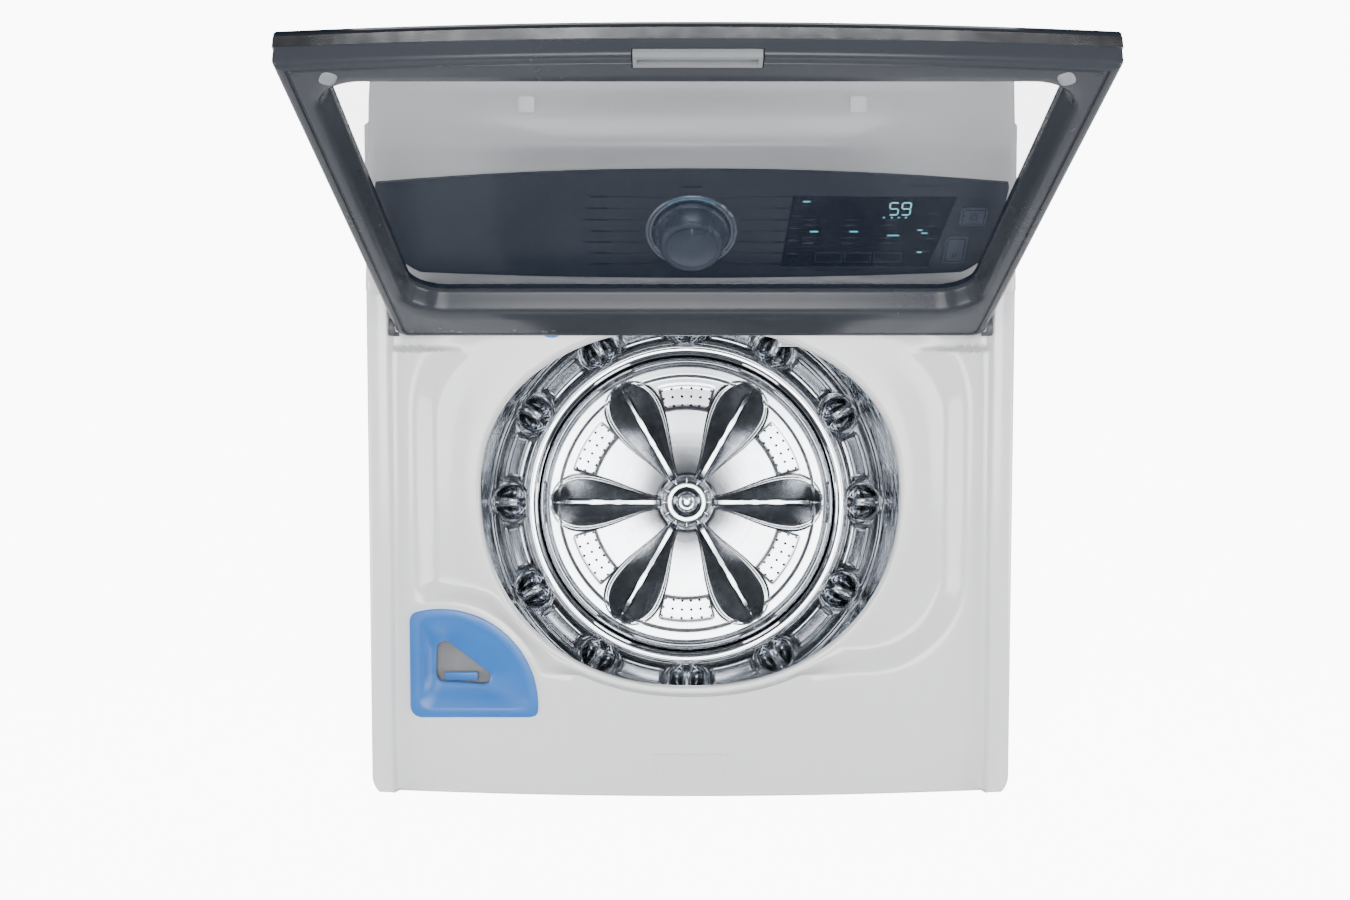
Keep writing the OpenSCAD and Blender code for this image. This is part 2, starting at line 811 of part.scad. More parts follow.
module knob_encoder() {
    top = -7;
    color("gray") on_panel() translate([0, knob_up, 0]) difference() {
        union() {
            translate([-9, -9, board_n + 1.6]) cube([18, 18, 8]);
            translate([0, 0, board_n + 1.6]) cylinder(r = 5, h = top - board_n - 1.6);
        }
        translate([0, 0, board_n + 4]) cylinder(r = 3 + running_gap, h = 40);
    }
}

module control_board() {
    color("darkgreen") on_panel() difference() {
        translate([board_x[0], 14, board_n]) cube([board_x[1] - board_x[0], 104, 1.6]);
        for (x = [board_x[0] + 8, board_x[1] - 8], y = [22, 110])
            translate([x, y, board_n - 1]) cylinder(r = 2, h = 4);
    }
}

module power_button() {
    color("slategray") on_panel() {
        translate([0, 0, 0.4]) linear_extrude(panel_t + 0.6) power_outline();
        translate([power_at.x, power_at.y, board_n + 2 + 2 * button_travel])
            cylinder(r = 3, h = -board_n - 2 * button_travel);
    }
}

module start_button() {
    color("slategray") on_panel() {
        translate([0, 0, 0.4]) linear_extrude(panel_t + 0.6) start_outline();
        translate([start_at.x, start_at.y, board_n + 2 + 2 * button_travel])
            cylinder(r = 3, h = -board_n - 2 * button_travel);
    }
}

module cap_places() {
    for (x = [-158, 158])
        translate([x, body_d / 2 - 50, console_top - 1.2]) rotate([10, 0, 0]) children();
}

module screw_caps() {
    color("whitesmoke") cap_places() rounded_plate([cap_side, cap_side], 2, 2);
}

// ---- Water and drain ----

module water_valve() {
    deep = 42;
    color("white") {
        difference() {
            union() {
                translate([valve_x - valve_pitch / 2 - 20, back_y - 16 - deep, valve_z - 18])
                    cube([valve_pitch + 40, deep, 36]);
                for (side = [-1, 1])
                    translate([valve_x + side * valve_pitch / 2, back_y - 16, valve_z])
                        rotate([-90, 0, 0]) cylinder(r = inlet_r, h = 16 + back_gap - 2);
            }
            for (side = [-1, 1])
                translate([valve_x + side * valve_pitch / 2, back_y - 40, valve_z])
                    rotate([-90, 0, 0]) cylinder(r = inlet_r - 3.5, h = 100);
        }
        for (side = [-1, 1])
            translate([valve_x + side * valve_pitch / 2, back_y - 38, valve_z - 52])
                cylinder(r = 15, h = 36);
    }
}

module fill_hose() {
    start = back_y - 16 - 42;
    color("dimgray") translate([valve_x, start, valve_z]) rotate([90, 0, 0])
        ring(11, 8.5, start - (tub_y + opening_rear + 62));
}

module fill_nozzle() {
    length = 76;
    near = tub_y + opening_rear + 62 - length;
    color("white") translate([valve_x, near, valve_z]) difference() {
        translate([-22, 0, -13]) cube([44, length, 26]);
        translate([-19, -1, -8]) cube([38, length - 8, 18]);
        translate([0, length - 10, 0]) rotate([-90, 0, 0]) cylinder(r = 8.5, h = 20);
    }
}

module drain_pump() {
    color("dimgray") translate([drain_at.x, drain_at.y + tub_y, toe_h + 10]) difference() {
        union() {
            translate([-52, -46, 0]) cube([104, 92, 4]);
            cylinder(r = 46, h = 62);
            translate([0, 0, 60]) cylinder(r = 24, h = 26);
            translate([0, -40, outlet_z - toe_h - 10]) rotate([-90, 0, 0]) cylinder(r = 15, h = 100);
            translate([-60, 0, 34]) rotate([0, -90, 0]) cylinder(r = 26, h = 54);
            translate([-46, 0, 34]) rotate([0, -90, 0]) cylinder(r = 18, h = 20);
        }
        translate([0, 0, 8]) cylinder(r = 20, h = 100);
        translate([0, 0, outlet_z - toe_h - 10]) rotate([-90, 0, 0]) cylinder(r = 10.5, h = 100);
    }
}

module drain_hose() {
    start = drain_at.y + tub_y + 60;
    color("gray") translate([drain_at.x, start, outlet_z]) rotate([-90, 0, 0])
        ring(13, 10.5, back_y - 9 - start);
}

module drain_outlet() {
    color("dimgray") translate([drain_at.x, back_y - 9, outlet_z]) rotate([-90, 0, 0]) difference() {
        union() {
            cylinder(r = outlet_r, h = 9 + back_gap - 2);
            cylinder(r = outlet_r + 8, h = 9 - sheet_t - 0.2);
        }
        translate([0, 0, -1]) cylinder(r = 10.5, h = 60);
    }
}

module cord_gland() {
    color("black") translate([gland_at.x, back_y - 8, gland_at.y]) rotate([-90, 0, 0]) difference() {
        union() {
            cylinder(r = 9.6, h = 18);
            translate([0, 0, 8.1]) cylinder(r1 = 15, r2 = 12, h = 6);
            cylinder(r = 14, h = 8 - sheet_t - 0.1);
        }
        translate([0, 0, -1]) cylinder(r = 4.5, h = 30);
    }
}

module sump_hose() {
    low = toe_h + 10 + 86;
    high = tub_floor - 24;
    folds = 9;
    pitch = (high - low) / folds;
    color("black") translate([drain_at.x, drain_at.y + tub_y, low]) rotate_extrude() polygon(concat(
        [[20, 0]],
        [for (i = [0:folds - 1]) each [
            [24, i * pitch], [24, i * pitch + 4], [28, i * pitch + pitch / 2], [24, i * pitch + pitch - 4]]],
        [[24, high - low], [20, high - low]]));
}

// ---- Tub ----

module outer_tub() {
    lug = 14;
    color("lightgray") {
        difference() {
            union() {
                at_tub() rotate_extrude() polygon([
                    [58, tub_floor], [tub_out_r, tub_floor], [tub_out_r, tub_top - 4],
                    [tub_out_r + 4, tub_top - 4], [tub_out_r + 4, tub_top], [tub_r, tub_top],
                    [tub_r, tub_floor + tub_t], [58, tub_floor + tub_t]]);
                for (side = [-1, 1], end = [-1, 1])
                    at_tub(lug_z + 3) rotate([0, 0, atan2(end, side)])
                        translate([tub_r + tub_t / 2, -21, 0])
                            cube([rod_pcd_r - tub_r - tub_t / 2, 42, lug - 6]);
                rod_places(lug_z) cylinder(r = 24, h = lug);
                for (i = [0:11]) at_tub(tub_floor - 14) rotate([0, 0, i * 30 + 15])
                    translate([132, -2, 0]) cube([tub_out_r - 140, 4, 14.5]);
                translate([drain_at.x, drain_at.y + tub_y, tub_floor - 24]) cylinder(r = 28, h = 25);
            }
            rod_places(lug_z - 1) cylinder(r = rod_r + 3, h = lug + 2);
            translate([drain_at.x, drain_at.y + tub_y, tub_floor - 30]) cylinder(r = 20, h = 60);
        }
    }
}

module tub_ring() {
    color("whitesmoke") at_tub() rotate_extrude() polygon([
        [basket_r - balance_w - 1, tub_top], [tub_out_r + 4, tub_top], [tub_out_r + 4, tub_top + 3],
        [basket_r - balance_w + 3, tub_top + 3], [basket_r - balance_w, tub_top + 8],
        [basket_r - balance_w - 2, tub_top + 8]]);
}

module bearing_housing() {
    low = tub_floor - 66;
    color("silver") at_tub(low) difference() {
        union() {
            cylinder(r = bearing_r + 8, h = 66 + tub_t + 6);
            translate([0, 0, 50]) cylinder(r = 57.8, h = 16 + tub_t);
            translate([0, 0, 50]) cylinder(r = 130, h = 15.8);
            for (i = [0:7]) rotate([0, 0, i * 45]) translate([bearing_r, -3, 24]) cube([80, 6, 30]);
        }
        translate([0, 0, -1]) cylinder(r = bearing_r, h = 19);
        translate([0, 0, 40]) cylinder(r = bearing_r, h = 60);
        translate([0, 0, -1]) cylinder(r = spin_r + 3, h = 100);
    }
}

module main_bearings() {
    low = tub_floor - 66;
    color("gray") for (z = [low + 2, low + 40])
        at_tub(z) ring(bearing_r, spin_r + running_gap, 16);
}

module motor_stator() {
    low = tub_floor - 66;
    poles = 36;
    color("peru") at_tub(low) {
        difference() {
            union() {
                ring(rotor_r - 34, bearing_r + 8, 20);
                for (i = [0:poles - 1]) rotate([0, 0, i * 360 / poles])
                    translate([rotor_r - 38, -5, 1]) cube([26, 10, 18]);
            }
            for (i = [0:5]) rotate([0, 0, i * 60 + 30]) translate([bearing_r + 34, 0, -1])
                cylinder(r = 14, h = 30);
        }
    }
}

// ---- Basket ----

module wash_basket() {
    bead = 2.2;
    color("silver") at_tub() rotate_extrude() polygon([
        [basket_r, basket_seam], [basket_r + steel_t, basket_seam],
        [basket_r + steel_t, basket_top - balance_h - 12],
        [basket_r + steel_t + bead, basket_top - balance_h - 8],
        [basket_r + steel_t, basket_top - balance_h - 4],
        [basket_r + steel_t, basket_top], [basket_r, basket_top],
        [basket_r, basket_top - balance_h - 4],
        [basket_r + bead, basket_top - balance_h - 8],
        [basket_r, basket_top - balance_h - 12]]);
}

// Height of the basket base's inner face at radius r
function base_z(r) = plate_z - 2 + (basket_seam - plate_z) * pow((r - plate_r) / (basket_r - plate_r), 1.5);

module basket_base() {
    inner = plate_r + plate_gap;
    rings = 4;
    rim = [for (i = [0:rings]) inner + (basket_r - inner) * i / rings];
    floor_z = plate_z - 22;
    tilt = atan2(base_z(basket_r) - base_z(inner), basket_r - inner);
    mid = (basket_r + inner) / 2 + 4;
    color("silver") at_tub() {
        difference() {
            rotate_extrude() polygon(concat(
                [[46, floor_z], [inner - 2, floor_z]],
                [for (r = rim) [r, base_z(r)]],
                [[basket_r, basket_seam]],
                [[basket_r + steel_t, basket_seam]],
                [for (i = [rings:-1:0]) [rim[i] + steel_t, base_z(rim[i]) - steel_t]],
                [[inner - 2 + steel_t, floor_z - steel_t], [46, floor_z - steel_t]]));
            for (i = [0:pocket_count - 1]) rotate([0, 0, i * 360 / pocket_count])
                translate([mid, 0, base_z(mid)]) rotate([0, -tilt, 0])
                    cylinder(r = 17, h = 16, center = true);
        }
        for (i = [0:pocket_count - 1]) rotate([0, 0, i * 360 / pocket_count])
            translate([mid, 0, base_z(mid)]) rotate([0, -tilt, 0]) {
                rotate_extrude() polygon([
                    [0, -8], [11, -7], [15.8, -4], [17, 1], [18.6, 1.6], [18.6, 2.4],
                    [16.2, 2], [14.8, -3], [10.6, -5.8], [0, -6.8]]);
                translate([-16, -4, -1.4]) cube([32, 8, 2]);
            }
    }
}

module balance_ring() {
    color("gainsboro") at_tub() rotate_extrude() polygon([
        [basket_r - balance_w, basket_top - balance_h + 6], [basket_r - balance_w + 6, basket_top - balance_h],
        [basket_r - 0.1, basket_top - balance_h], [basket_r - 0.1, basket_top - 1],
        [basket_r - balance_w + 6, basket_top - 1], [basket_r - balance_w, basket_top - 7]]);
}

module basket_hub() {
    top = plate_z - 22 - steel_t;
    color("darkgray") at_tub(top - 14) difference() {
        union() {
            cylinder(r = 56, h = 14);
            for (i = [0:2]) rotate([0, 0, i * 120]) translate([0, -22, 4]) cube([plate_r - 6, 44, 10]);
        }
        translate([0, 0, -1]) cylinder(r = spin_r, h = 30);
    }
}

module spin_tube() {
    low = tub_floor - 80;
    color("silver") at_tub(low) ring(spin_r, shaft_r + running_gap, plate_z - 24 - low);
}

// ---- Wash plate and drive ----

// Height of the wash plate's top at radius r
function plate_top(r) = plate_z - 4 + 10 * pow(r / plate_r, 4) * (1 - pow(r / plate_r, 8)) + 4;

module wash_plate() {
    steps = [for (i = [0:10]) 30 + (plate_r - 30) * i / 10];
    wide = 36;
    sunk = 14;
    color("silver") at_tub() {
        difference() {
            union() {
                rotate_extrude() polygon(concat(
                    [[shaft_r, plate_z + 18], [23, plate_z + 18], [28, plate_z + 8]],
                    [for (r = steps) [r, plate_top(r)]],
                    [[plate_r, plate_z - 7], [plate_r - 3, plate_z - 7]],
                    [for (i = [9:-1:0]) [steps[i], plate_top(steps[i]) - 3]],
                    [[28, plate_z - 20], [shaft_r, plate_z - 20]]));
                intersection() {
                    for (i = [0:petal_count - 1]) rotate([0, 0, i * 360 / petal_count])
                        translate([0, 0, plate_z - sunk]) {
                            translate([34, 0, 6]) rotate([0, 90, 0])
                                cylinder(r1 = 12, r2 = wide, h = 114);
                            translate([148, 0, 6]) sphere(wide);
                        }
                    translate([0, 0, plate_z - 1]) cylinder(r = plate_r - 8, h = 60);
                }
            }
            translate([0, 0, plate_z - 30]) cylinder(r = shaft_r, h = 60);
            for (i = [0:petal_count - 1], row = [0:1], hole = [-1:1])
                rotate([0, 0, (i + 0.5) * 360 / petal_count + hole * 7])
                    translate([142 + row * 18, 0, plate_z - 20]) cylinder(r = 3, h = 60);
        }
    }
}

module plate_bolt() {
    color("silver") at_tub(plate_z + 18) {
        cylinder(r = 22, h = 3);
        translate([0, 0, 3]) cylinder(r = 12, h = 7);
        translate([0, 0, 10]) cylinder(r = 7, h = 3, $fn = 6);
    }
}

module drive_shaft() {
    low = tub_floor - 100;
    color("silver") at_tub(low) cylinder(r = shaft_r, h = plate_z + 18 - low);
}

module motor_rotor() {
    low = tub_floor - 94;
    color("dimgray") at_tub(low) difference() {
        union() {
            cylinder(r = rotor_r, h = 46);
            translate([0, 0, -4]) cylinder(r = 30, h = 10);
        }
        translate([0, 0, 5]) cylinder(r = rotor_r - 10, h = 60);
        translate([0, 0, -10]) cylinder(r = shaft_r, h = 40);
        for (i = [0:8]) rotate([0, 0, i * 40]) translate([86, -9, -2]) cube([30, 18, 20]);
    }
}

cabinet();
rear_panel();
base_frame();
foot_lock_nuts();
corner_brackets();
top_cover();
bleach_tray();
bleach_cup();
softener_cup();
grip_pad();
lid_sensor();
hinge_brackets();
console_housing();
console_rear_cover();
control_panel();
display_window();
knob_ring();
control_board();
knob_encoder();
screw_caps();
water_valve();
fill_hose();
fill_nozzle();
drain_pump();
drain_hose();
drain_outlet();
cord_gland();
suspension_rods();
suspension_springs();
sump_hose();
cabinet_screws();
foot_front_left();
foot_front_right();
foot_rear_left();
foot_rear_right();
lid_frame();
lid_glass();
lid_trim();
lid_grip();
lid_bumpers();
lid_seal();
lid_hinge_pins();
knob();
power_button();
start_button();
outer_tub();
tub_ring();
bearing_housing();
main_bearings();
motor_stator();
wash_basket();
basket_base();
balance_ring();
basket_hub();
spin_tube();
wash_plate();
plate_bolt();
drive_shaft();
motor_rotor();
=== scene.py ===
# Top load washing machine with its lid open: shells, finishes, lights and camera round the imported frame
import json
import math
import random

import bpy
from mathutils import Matrix, Vector


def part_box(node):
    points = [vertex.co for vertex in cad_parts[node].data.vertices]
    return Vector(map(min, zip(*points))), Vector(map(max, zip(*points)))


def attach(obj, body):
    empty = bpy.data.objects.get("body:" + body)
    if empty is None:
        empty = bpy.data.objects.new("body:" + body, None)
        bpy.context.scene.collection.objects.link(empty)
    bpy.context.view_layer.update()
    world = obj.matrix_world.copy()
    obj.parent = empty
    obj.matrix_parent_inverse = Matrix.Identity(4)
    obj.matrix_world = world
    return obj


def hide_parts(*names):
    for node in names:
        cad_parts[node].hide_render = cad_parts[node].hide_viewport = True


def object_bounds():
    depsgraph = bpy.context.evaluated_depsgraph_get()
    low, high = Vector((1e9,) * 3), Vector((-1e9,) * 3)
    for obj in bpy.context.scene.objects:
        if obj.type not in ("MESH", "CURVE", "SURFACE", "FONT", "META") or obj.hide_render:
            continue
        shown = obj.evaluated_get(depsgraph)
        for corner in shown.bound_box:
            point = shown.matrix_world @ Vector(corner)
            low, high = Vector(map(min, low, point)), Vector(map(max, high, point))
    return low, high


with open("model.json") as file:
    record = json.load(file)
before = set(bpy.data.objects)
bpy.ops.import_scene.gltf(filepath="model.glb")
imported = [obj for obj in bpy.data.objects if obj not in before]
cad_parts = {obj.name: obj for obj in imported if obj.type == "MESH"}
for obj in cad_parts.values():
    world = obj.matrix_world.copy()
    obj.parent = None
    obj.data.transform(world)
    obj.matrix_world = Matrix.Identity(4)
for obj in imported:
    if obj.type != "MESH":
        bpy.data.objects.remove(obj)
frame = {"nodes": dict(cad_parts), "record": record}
cadLow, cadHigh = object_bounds()
mm = 0.001
print("frame loaded:", len(frame["nodes"]), "nodes")

# slopes of the deck and the panel, and how far the lid stands open, in degrees
slopes = {"deck": 7.07, "lidOpen": 112.0, "panel": 52.5}
# where the hinge pin sits above the deck's own line, and where the panel starts from that line, in mm
offsets = {"pinBack": 5.6, "pinUp": -4.0, "panelBack": 55.5, "panelUp": 25.0}

deckTurn = Matrix.Rotation(math.radians(slopes["deck"]), 4, "X")
pinLow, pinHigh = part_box("lid_hinge_pins")
hingePoint = (pinLow + pinHigh) / 2
deckOrigin = hingePoint - deckTurn @ Vector((0, offsets["pinBack"] * mm, offsets["pinUp"] * mm))
deckPlace = Matrix.Translation(deckOrigin) @ deckTurn
lidTurn = Matrix.Rotation(math.radians(slopes["deck"] - slopes["lidOpen"]), 4, "X")
lidPlace = Matrix.Translation(hingePoint) @ lidTurn @ Matrix.Scale(-1, 4, (0, 1, 0))
panelOrigin = deckOrigin + Vector((0, offsets["panelBack"] * mm, offsets["panelUp"] * mm))
panelPlace = Matrix.Translation(panelOrigin) @ Matrix.Rotation(math.radians(slopes["panel"]), 4, "X")
plateLow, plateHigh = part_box("wash_plate")
tubCentre = (plateLow + plateHigh) / 2
upright = Matrix.Identity(4)


# ---- small helpers for modelling ----
def deselectAll():
    if bpy.context.object and bpy.context.object.mode != "OBJECT":
        bpy.ops.object.mode_set(mode="OBJECT")
    bpy.ops.object.select_all(action="DESELECT")


def pick(piece):
    deselectAll()
    piece.select_set(True)
    bpy.context.view_layer.objects.active = piece


def cleanMesh(piece, gap=0.00002):
    # closes seams and poles, then turns every face outwards
    pick(piece)
    bpy.ops.object.mode_set(mode="EDIT")
    bpy.ops.mesh.select_all(action="SELECT")
    bpy.ops.mesh.remove_doubles(threshold=gap)
    bpy.ops.mesh.dissolve_degenerate(threshold=gap / 4)
    bpy.ops.mesh.normals_make_consistent(inside=False)
    bpy.ops.object.mode_set(mode="OBJECT")


def settle(piece, place=None):
    # puts the piece's place into its mesh and leaves the object at the origin
    pick(piece)
    if place is not None:
        piece.matrix_world = place @ piece.matrix_world
    bpy.ops.object.transform_apply(location=True, rotation=True, scale=True)


def loft(name, stations, place=upright, closed=True):
    # a grid is laid over the stations: each is one ring of points in mm, all with the same count
    rows = stations + [stations[0]] if closed else stations
    around = len(rows[0])
    deselectAll()
    bpy.ops.mesh.primitive_grid_add(x_subdivisions=around, y_subdivisions=len(rows) - 1, size=1)
    piece = bpy.context.object
    piece.name = name
    flat = []
    for row in rows:
        for point in row + row[:1]:
            flat.extend(place @ (Vector(point) * mm))
    piece.data.vertices.foreach_set("co", flat)
    piece.data.update()
    cleanMesh(piece)
    return piece


def lathe(name, profile, centre, steps=96, place=upright, closed=True):
    # profile is radius and height in mm, turned about the upright line through centre
    turns = [2 * math.pi * i / steps for i in range(steps)]
    rings = [[(centre[0] + r * math.cos(a), centre[1] + r * math.sin(a), h) for a in turns]
             for r, h in profile]
    return loft(name, rings, place, closed)


def softEdges(piece, width, segments=3, angle=30):
    pick(piece)
    bpy.ops.object.modifier_add(type="BEVEL")
    bevel = piece.modifiers[-1]
    bevel.width = width * mm
    bevel.segments = segments
    bevel.limit_method = "ANGLE"
    bevel.angle_limit = math.radians(angle)
    bpy.ops.object.modifier_apply(modifier=bevel.name)


def cutWith(piece, cutter):
    pick(piece)
    bpy.ops.object.modifier_add(type="BOOLEAN")
    cut = piece.modifiers[-1]
    cut.operation = "DIFFERENCE"
    cut.solver = "EXACT"
    cut.object = cutter
    bpy.ops.object.modifier_apply(modifier=cut.name)
    bpy.data.objects.remove(cutter, do_unlink=True)


def joinAll(pieces, name):
    deselectAll()
    for piece in pieces:
        piece.select_set(True)
    bpy.context.view_layer.objects.active = pieces[0]
    if len(pieces) > 1:
        bpy.ops.object.join()
    pieces[0].name = name
    return pieces[0]


def finishPiece(piece, body, material, replaced=(), smooth=32):
    pick(piece)
    piece.data.materials.clear()
    piece.data.materials.append(material)
    bpy.ops.object.shade_smooth_by_angle(angle=math.radians(smooth))
    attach(piece, body)
    if replaced:
        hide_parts(*replaced)
    print("made", piece.name, len(piece.data.polygons), "faces")
    return piece


def platePiece(name, size, centre, height, place, bevel=0.0, lean=0.0):
    # a flat slab standing on its plane, with rounded upright corners where bevel is given
    deselectAll()
    bpy.ops.mesh.primitive_cube_add(size=1, location=(0, 0, 0))
    piece = bpy.context.object
    piece.name = name
    for corner in piece.data.vertices:
        x, y, z = corner.co
        corner.co = Vector((centre[0] + (x + lean * y) * size[0], centre[1] + y * size[1],
                            centre[2] + (z + 0.5) * height)) * mm
    if bevel:
        softEdges(piece, bevel, 3)
    settle(piece, place)
    cleanMesh(piece)
    return piece


def insideBox(x, y, box, radius):
    # box is left, right, front, back
    left, right, front, back = box
    overX = max(left + radius - x, x - right + radius, 0)
    overY = max(front + radius - y, y - back + radius, 0)
    return overX * overX + overY * overY <= radius * radius


def rayLength(inside, centre, angle, reach=900):
    # how far a shape goes from its centre in one direction
    across, along = math.cos(angle), math.sin(angle)
    low, high = 0.0, reach
    for step in range(26):
        middle = (low + high) / 2
        if inside(centre[0] + across * middle, centre[1] + along * middle):
            low = middle
        else:
            high = middle
    return low


def smoothStep(t):
    t = min(max(t, 0), 1)
    return t * t * (3 - 2 * t)


# ---- finishes: shared effects first, each a node group that gives values only ----
def newGroup(name, inputs, outputs):
    tree = bpy.data.node_groups.new(name, "ShaderNodeTree")
    for label, kind, value in inputs:
        socket = tree.interface.new_socket(label, in_out="INPUT", socket_type=kind)
        if value is not None:
            socket.default_value = value
    for label, kind in outputs:
        tree.interface.new_socket(label, in_out="OUTPUT", socket_type=kind)
    return tree, tree.nodes.new("NodeGroupInput"), tree.nodes.new("NodeGroupOutput")


def addMath(tree, operation, first, second=None):
    node = tree.nodes.new("ShaderNodeMath")
    node.operation = operation
    for i, value in enumerate((first, second)):
        if isinstance(value, (int, float)):
            node.inputs[i].default_value = value
        elif value is not None:
            tree.links.new(value, node.inputs[i])
    return node.outputs[0]


def addNoise(tree, vector, scale, detail=3.0, rough=0.5):
    node = tree.nodes.new("ShaderNodeTexNoise")
    node.inputs["Detail"].default_value = detail
    node.inputs["Roughness"].default_value = rough
    tree.links.new(vector, node.inputs["Vector"])
    if isinstance(scale, (int, float)):
        node.inputs["Scale"].default_value = scale
    else:
        tree.links.new(scale, node.inputs["Scale"])
    return node.outputs[0]


def addRange(tree, value, low, high, toLow, toHigh):
    node = tree.nodes.new("ShaderNodeMapRange")
    tree.links.new(value, node.inputs["Value"])
    for label, amount in (("From Min", low), ("From Max", high), ("To Min", toLow), ("To Max", toHigh)):
        if isinstance(amount, (int, float)):
            node.inputs[label].default_value = amount
        else:
            tree.links.new(amount, node.inputs[label])
    return node.outputs[0]


def makePatches():
    # broad soft patches, as handling and uneven mixing leave, from 0 to 1
    tree, given, out = newGroup("softPatches",
                                [("Vector", "NodeSocketVector", None), ("Scale", "NodeSocketFloat", 6.0)],
                                [("Mask", "NodeSocketFloat")])
    noise = addNoise(tree, given.outputs["Vector"], given.outputs["Scale"], 4.0, 0.55)
    tree.links.new(addRange(tree, noise, 0.32, 0.68, 0.0, 1.0), out.inputs["Mask"])
    return tree


def makeGrain():
    # fine moulded or painted grain: a height for the bump
    tree, given, out = newGroup("fineGrain",
                                [("Vector", "NodeSocketVector", None), ("Scale", "NodeSocketFloat", 900.0),
                                 ("Depth", "NodeSocketFloat", 1.0)],
                                [("Height", "NodeSocketFloat")])
    noise = addNoise(tree, given.outputs["Vector"], given.outputs["Scale"], 2.0, 0.6)
    tree.links.new(addMath(tree, "MULTIPLY", noise, given.outputs["Depth"]), out.inputs["Height"])
    return tree


def makeSmudges():
    # wiped streaks and finger marks that change the gloss
    tree, given, out = newGroup("smudges",
                                [("Vector", "NodeSocketVector", None), ("Low", "NodeSocketFloat", 0.2),
                                 ("High", "NodeSocketFloat", 0.3)],
                                [("Gloss", "NodeSocketFloat")])
    broad = addNoise(tree, given.outputs["Vector"], 7.0, 5.0, 0.62)
    fine = addNoise(tree, given.outputs["Vector"], 85.0, 2.0, 0.5)
    both = addMath(tree, "ADD", addMath(tree, "MULTIPLY", broad, 0.75), addMath(tree, "MULTIPLY", fine, 0.25))
    gloss = addRange(tree, both, 0.36, 0.64, given.outputs["Low"], given.outputs["High"])
    tree.links.new(gloss, out.inputs["Gloss"])
    return tree


def makeDust():
    # a thin veil of dust on faces that look up
    tree, given, out = newGroup("dustVeil",
                                [("Vector", "NodeSocketVector", None), ("Amount", "NodeSocketFloat", 0.3)],
                                [("Mask", "NodeSocketFloat")])
    face = tree.nodes.new("ShaderNodeNewGeometry")
    split = tree.nodes.new("ShaderNodeSeparateXYZ")
    tree.links.new(face.outputs["Normal"], split.inputs[0])
    up = addRange(tree, split.outputs["Z"], 0.35, 1.0, 0.0, 1.0)
    noise = addRange(tree, addNoise(tree, given.outputs["Vector"], 38.0, 5.0, 0.6), 0.3, 0.75, 0.2, 1.0)
    veil = addMath(tree, "MULTIPLY", addMath(tree, "MULTIPLY", up, noise), given.outputs["Amount"])
    tree.links.new(veil, out.inputs["Mask"])
    return tree


def makeTurned():
    # fine rings that a lathe or a press leaves round the tub's upright line
    tree, given, out = newGroup("turnedRings",
                                [("Vector", "NodeSocketVector", None),
                                 ("Fineness", "NodeSocketFloat", 2400.0)],
                                [("Height", "NodeSocketFloat"), ("Mask", "NodeSocketFloat")])
    move = tree.nodes.new("ShaderNodeVectorMath")
    move.operation = "SUBTRACT"
    move.inputs[1].default_value = (tubCentre.x, tubCentre.y, 0)
    tree.links.new(given.outputs["Vector"], move.inputs[0])
    split = tree.nodes.new("ShaderNodeSeparateXYZ")
    tree.links.new(move.outputs[0], split.inputs[0])
    square = addMath(tree, "ADD", addMath(tree, "MULTIPLY", split.outputs["X"], split.outputs["X"]),
                     addMath(tree, "MULTIPLY", split.outputs["Y"], split.outputs["Y"]))
    radius = addMath(tree, "SQRT", square)
    join = tree.nodes.new("ShaderNodeCombineXYZ")
    tree.links.new(radius, join.inputs["X"])
    tree.links.new(split.outputs["Z"], join.inputs["Y"])
    fine = addNoise(tree, join.outputs[0], given.outputs["Fineness"], 1.0, 0.5)
    coarse = addNoise(tree, join.outputs[0], 160.0, 3.0, 0.5)
    tree.links.new(fine, out.inputs["Height"])
    tree.links.new(addRange(tree, coarse, 0.35, 0.65, 0.0, 1.0), out.inputs["Mask"])
    return tree


effects = {"patches": makePatches(), "grain": makeGrain(), "smudges": makeSmudges(),
           "dust": makeDust(), "turned": makeTurned()}


def startMaterial(name):
    material = bpy.data.materials.new(name)
    material.use_nodes = True
    tree = material.node_tree
    shader = tree.nodes["Principled BSDF"]
    spot = tree.nodes.new("ShaderNodeTexCoord")
    return material, tree, shader, spot.outputs["Object"]


def placeEffect(tree, effect, spot, **values):
    node = tree.nodes.new("ShaderNodeGroup")
    node.node_tree = effects[effect]
    tree.links.new(spot, node.inputs["Vector"])
    for label, value in values.items():
        node.inputs[label].default_value = value
    return node


def mixColours(tree, mask, first, second):
    node = tree.nodes.new("ShaderNodeMix")
    node.data_type = "RGBA"
    tree.links.new(mask, node.inputs[0])
    for socket, colour in ((node.inputs[6], first), (node.inputs[7], second)):
        if isinstance(colour, tuple):
            socket.default_value = colour + (1.0,)
        else:
            tree.links.new(colour, socket)
    return node.outputs[2]


def addBump(tree, shader, height, strength, distance):
    node = tree.nodes.new("ShaderNodeBump")
    node.inputs["Strength"].default_value = strength
    node.inputs["Distance"].default_value = distance
    tree.links.new(height, node.inputs["Height"])
    tree.links.new(node.outputs[0], shader.inputs["Normal"])


